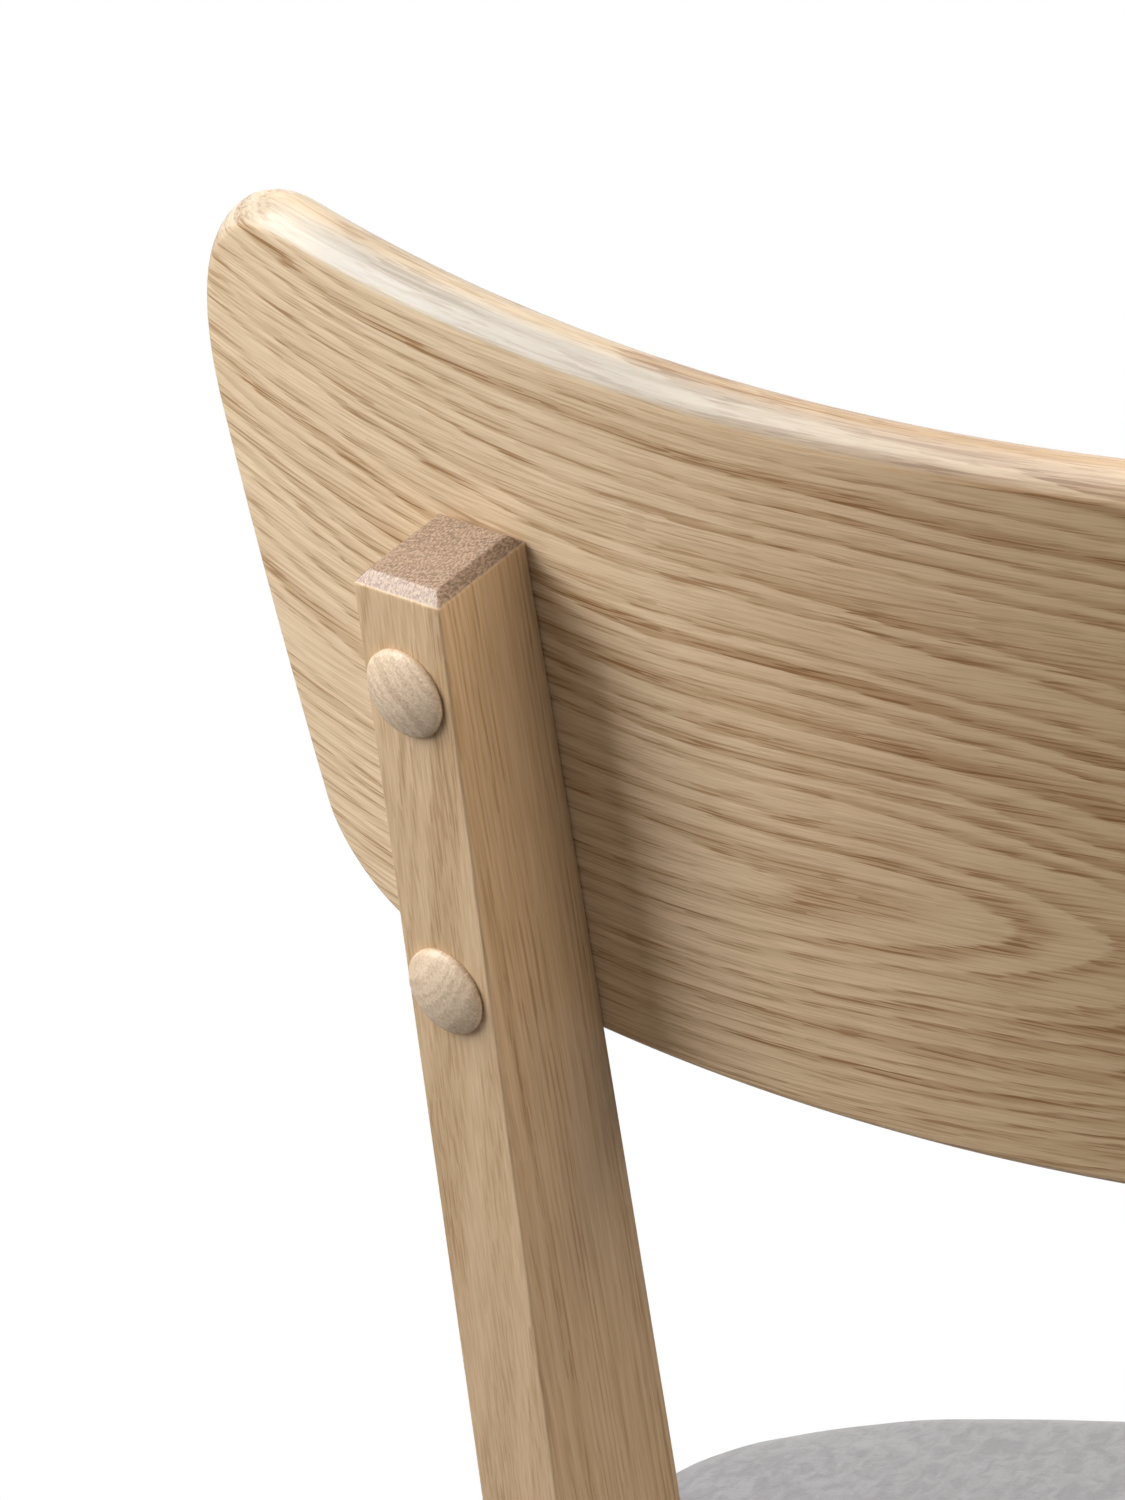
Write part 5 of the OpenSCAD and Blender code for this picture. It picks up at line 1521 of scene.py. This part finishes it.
if dust.data.polygons[0].normal.z > 0:
    dust.data.flip_normals()
apply_modifier(dust, "SOLIDIFY", "fleece", thickness=FLEECE_T * MM, offset=-1.0)
width, length = 2 * dust_x * MM, (dust_rear - dust_front) * MM
area = (2 * dust_x * (dust_rear - dust_front) - 2 * DUST_SLANT * DUST_CUT) * MM * MM
print("dust cover cut from", round(width, 3), "x", round(length, 3), "m; area", round(area, 4),
      "open edges", outward(dust))
stand_for(dust, "dust_cloth", "dust_cover")

# %% [markdown]
# The metal and plastic parts are mostly out of sight. Each still gets its own finish: zinc plating
# has a faint crystalline bloom, brass is warmer and smoother, and the glides are a grained plastic,
# worn pale where they slide.

# %% Metal and plastic
def metal(name, light, dark, roughness, bloom_size):
    material, g, shader = hard_shader(name, coat=0.0)
    shader["Metallic"].default_value = 1.0
    place = g.object_place()
    bloom = g.noise(place, 3.0, 0.6, 1.0 / bloom_size)
    scratch = g.noise(g.scaled(place, 6.0, 6.0, 0.4), 2.0, 0.6)
    g.put(shader["Base Color"], g.blend(g.range(bloom, 0.3, 0.7), colour(*dark), colour(*light)))
    g.put(shader["Roughness"], g.range(scratch, 0.3, 0.7, roughness - 0.06, roughness + 0.1))
    g.put(shader["Normal"], g.relief(g.add(bloom, scratch), 0.15, 0.1))
    return material


zinc = metal("zinc_plate", (0.62, 0.63, 0.65), (0.50, 0.51, 0.54), 0.32, 1.2)
brass = metal("turned_brass", (0.80, 0.62, 0.30), (0.68, 0.50, 0.22), 0.25, 2.0)

WEAR_HEIGHT = 0.8
plastic, g, shader = hard_shader("glide_plastic_grained", coat=0.0)
place = g.object_place()
grain = g.noise(place, 2.0, 0.7, 2.2)
worn = g.times(g.range(g.split(place)[2], 0.0, WEAR_HEIGHT, 1.0, 0.0), g.range(grain, 0.4, 0.6))
g.put(shader["Base Color"], g.blend(worn, colour(0.034, 0.031, 0.029),
                                    colour(0.09, 0.085, 0.08)))
g.put(shader["Roughness"], g.range(grain, 0.3, 0.7, 0.42, 0.6))
g.put(shader["Normal"], g.relief(grain, 0.3, 0.2))
print("hard finishes:", zinc.name, brass.name, plastic.name)

# %% [markdown]
# Beech shows short dark flecks on a plain body. Plywood has thin face veneers, and its edge shows
# the layers, every second one cut across and so darker. Its material finds the edge by itself: it
# is where the surface doesn't face up or down.

# %% Beech and plywood
PLY_LAYER, EDGE_ON, FACE_ON, LAYER_DARK = 1.5, 0.6, 0.8, 0.45


def plain_wood(name, light, dark, fleck, along_rate):
    """Wood with its grain along x. Also gives its graph, its shader and its bare colour."""
    material, g, shader = hard_shader(name, coat=0.0)
    place = g.scaled(g.object_place(), along_rate, 1, 1)
    lines = g.noise(g.scaled(place, 0.35, 0.35, 0.35), 4.0, 0.62, 1.0, 0.8)
    flecks = g.range(g.noise(g.scaled(place, 1.6, 1.6, 1.6), 1.0), 0.60, 0.70, smooth=True)
    body = g.blend(g.range(lines, 0.3, 0.7), colour(*dark), colour(*light))
    flecked = g.blend(g.times(flecks, 0.6), body, colour(*fleck))
    g.put(shader["Base Color"], flecked)
    g.put(shader["Roughness"], g.range(lines, 0.3, 0.7, 0.55, 0.68))
    g.put(shader["Normal"], g.relief(g.minus(lines, flecks), 0.3, 0.1))
    return material, g, shader, flecked


beech = plain_wood("beech_along_x", (0.66, 0.47, 0.30), (0.56, 0.38, 0.23), (0.40, 0.24, 0.13),
                   0.15)[0]
ply, g, shader, flecked = plain_wood("birch_plywood", (0.68, 0.53, 0.35), (0.60, 0.45, 0.28),
                                     (0.48, 0.34, 0.2), 0.12)
height = g.split(g.object_place())[2]
odd_layer = g.math("GREATER_THAN", g.math("FRACT", g.over(height, 2 * PLY_LAYER)), 0.5)
facing_up = g.math("ABSOLUTE", g.split(g.node("ShaderNodeNewGeometry").outputs["Normal"])[2])
on_edge = g.range(facing_up, EDGE_ON, FACE_ON, 1.0, 0.0)
g.put(shader["Base Color"], g.blend(g.times(odd_layer, on_edge, LAYER_DARK), flecked,
                                    colour(0.36, 0.24, 0.14)))
print("hidden woods:", beech.name, ply.name)

# %% [markdown]
# Staples hold the felt all round, so they are the clearest case for Geometry Nodes: one bent wire,
# set on even steps along a path and turned to follow it.

# %% One staple
STAPLE_W, STAPLE_WIRE, STAPLE_LEG, STAPLE_BEND, WIRE_FLAT = 10.0, 0.7, 6.0, 0.8, 0.8


def bent_wire(name):
    w, half = STAPLE_W / 2 - STAPLE_WIRE / 2, STAPLE_WIRE / 2
    bend = [(STAPLE_BEND - STAPLE_BEND * math.cos(a), STAPLE_BEND - STAPLE_BEND * math.sin(a))
            for a in np.radians((0, 45, 90))]
    line = [(-w, 0, STAPLE_LEG)] + [(x - w, 0, z) for x, z in bend]
    line = np.array(line + [(-x, 0, z) for x, _, z in reversed(line)], float)
    side, rings = np.array((0, 1, 0.0)), []
    for k, p in enumerate(line):
        t = line[min(k + 1, len(line) - 1)] - line[max(k - 1, 0)]
        up_dir = np.cross(side, t / np.linalg.norm(t))
        rings.append([p + side * half * a + up_dir * half * WIRE_FLAT * b
                      for a, b in ((-1, -1), (1, -1), (1, 1), (-1, 1))])
    points = np.array(rings).reshape(-1, 3)
    ends = [(3, 2, 1, 0), tuple(len(points) - 4 + k for k in range(4))]
    wire = make_piece(name, points, skin(len(rings), 4) + ends, None, smooth=False)
    print(name, "open edges", outward(wire))
    return wire


one_staple = bent_wire("one_staple")

# %% [markdown]
# The path is the outline of the seat, drawn in until it lies on the folded felt. The tree turns
# it into a curve, cuts that into even steps, and sets a staple on each.

# %% Staples round the felt
STAPLES, STAPLE_PLACE, STAPLE_Z = 36, 0.55, RAIL_Z - FELT_T - 0.1


def start_half_a_step_on(line, count):
    """Turns a closed line so that it begins where the first staple goes."""
    steps = np.linalg.norm(np.roll(line, -1, axis=0) - line, axis=1)
    along, want = np.concatenate([[0], np.cumsum(steps)]), 0.5 * steps.sum() / count
    k = int(np.searchsorted(along, want) - 1)
    first = line[k] + (line[(k + 1) % len(line)] - line[k]) * (want - along[k]) / steps[k]
    return np.vstack([[first], line[k + 1:], line[:k + 1]])


g, given, out = geometry_tree("Staples on a path", Staple="Object", Count=36)
path = g.node("GeometryNodeMeshToCurve", given["Geometry"]).outputs[0]
steps = g.node("GeometryNodeResampleCurve", Curve=path, Count=given["Count"]).outputs[0]
heading = g.node("FunctionNodeAlignEulerToVector", axis="X", pivot_axis="Z",
                 Vector=g.node("GeometryNodeInputTangent").outputs[0]).outputs[0]
wire = g.node("GeometryNodeObjectInfo", given["Staple"]).outputs["Geometry"]
spread = g.node("GeometryNodeInstanceOnPoints", Points=steps, Instance=wire,
                Rotation=heading).outputs[0]
g.finish(spread, given, out)

line = start_half_a_step_on(seat_outline(BOARD_INSET + FELT_FOLD * STAPLE_PLACE), STAPLES)
staples = make_piece("cover_staples_wire", np.column_stack([line, np.full(len(line), STAPLE_Z)]),
                     [], zinc, edges=[(k, (k + 1) % len(line)) for k in range(len(line))])
bake_tree(staples, g, Staple=one_staple, Count=STAPLES, Finish=zinc)
bpy.data.objects.remove(one_staple)
print("staples: open edges", outward(staples))
stand_for(staples, "zinc_steel", "cover_staples")

# %% [markdown]
# What is left are the solids whose shape is right as it is. They keep their meshes, and each gets
# its finish in its own material slots.

# %% Finish the solids that stay
def dress(names, finish):
    for name in names:
        solid = nodes[name]
        if not solid.material_slots:
            solid.data.materials.append(finish)
        for slot in solid.material_slots:
            slot.material = finish
    print(finish.name, "on", ", ".join(names))


corner_blocks = [name for name in nodes
                 if name.startswith("corner_block_") and name != "corner_block_screws"]
dress(corner_blocks + ["rail_dowels"], beech)
dress(["corner_block_screws", "back_screws", "seat_screws", "glide_nails"], zinc)
dress(["back_inserts", "seat_inserts"], brass)
dress(["seat_board"], ply)
dress(["foot_glides"], plastic)

# %% [markdown]
# At the end the script writes down two boxes: the CAD model's and the dressed chair's. They have to
# agree, since the dress may not change the size of the part.

# %% Sizes and the end
dressed_box = [list(corner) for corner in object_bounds()]
for label, box in (("cad", cad_box), ("dressed", dressed_box)):
    print(label, "box mm:", [[round(x / MM, 1) for x in corner] for corner in box])
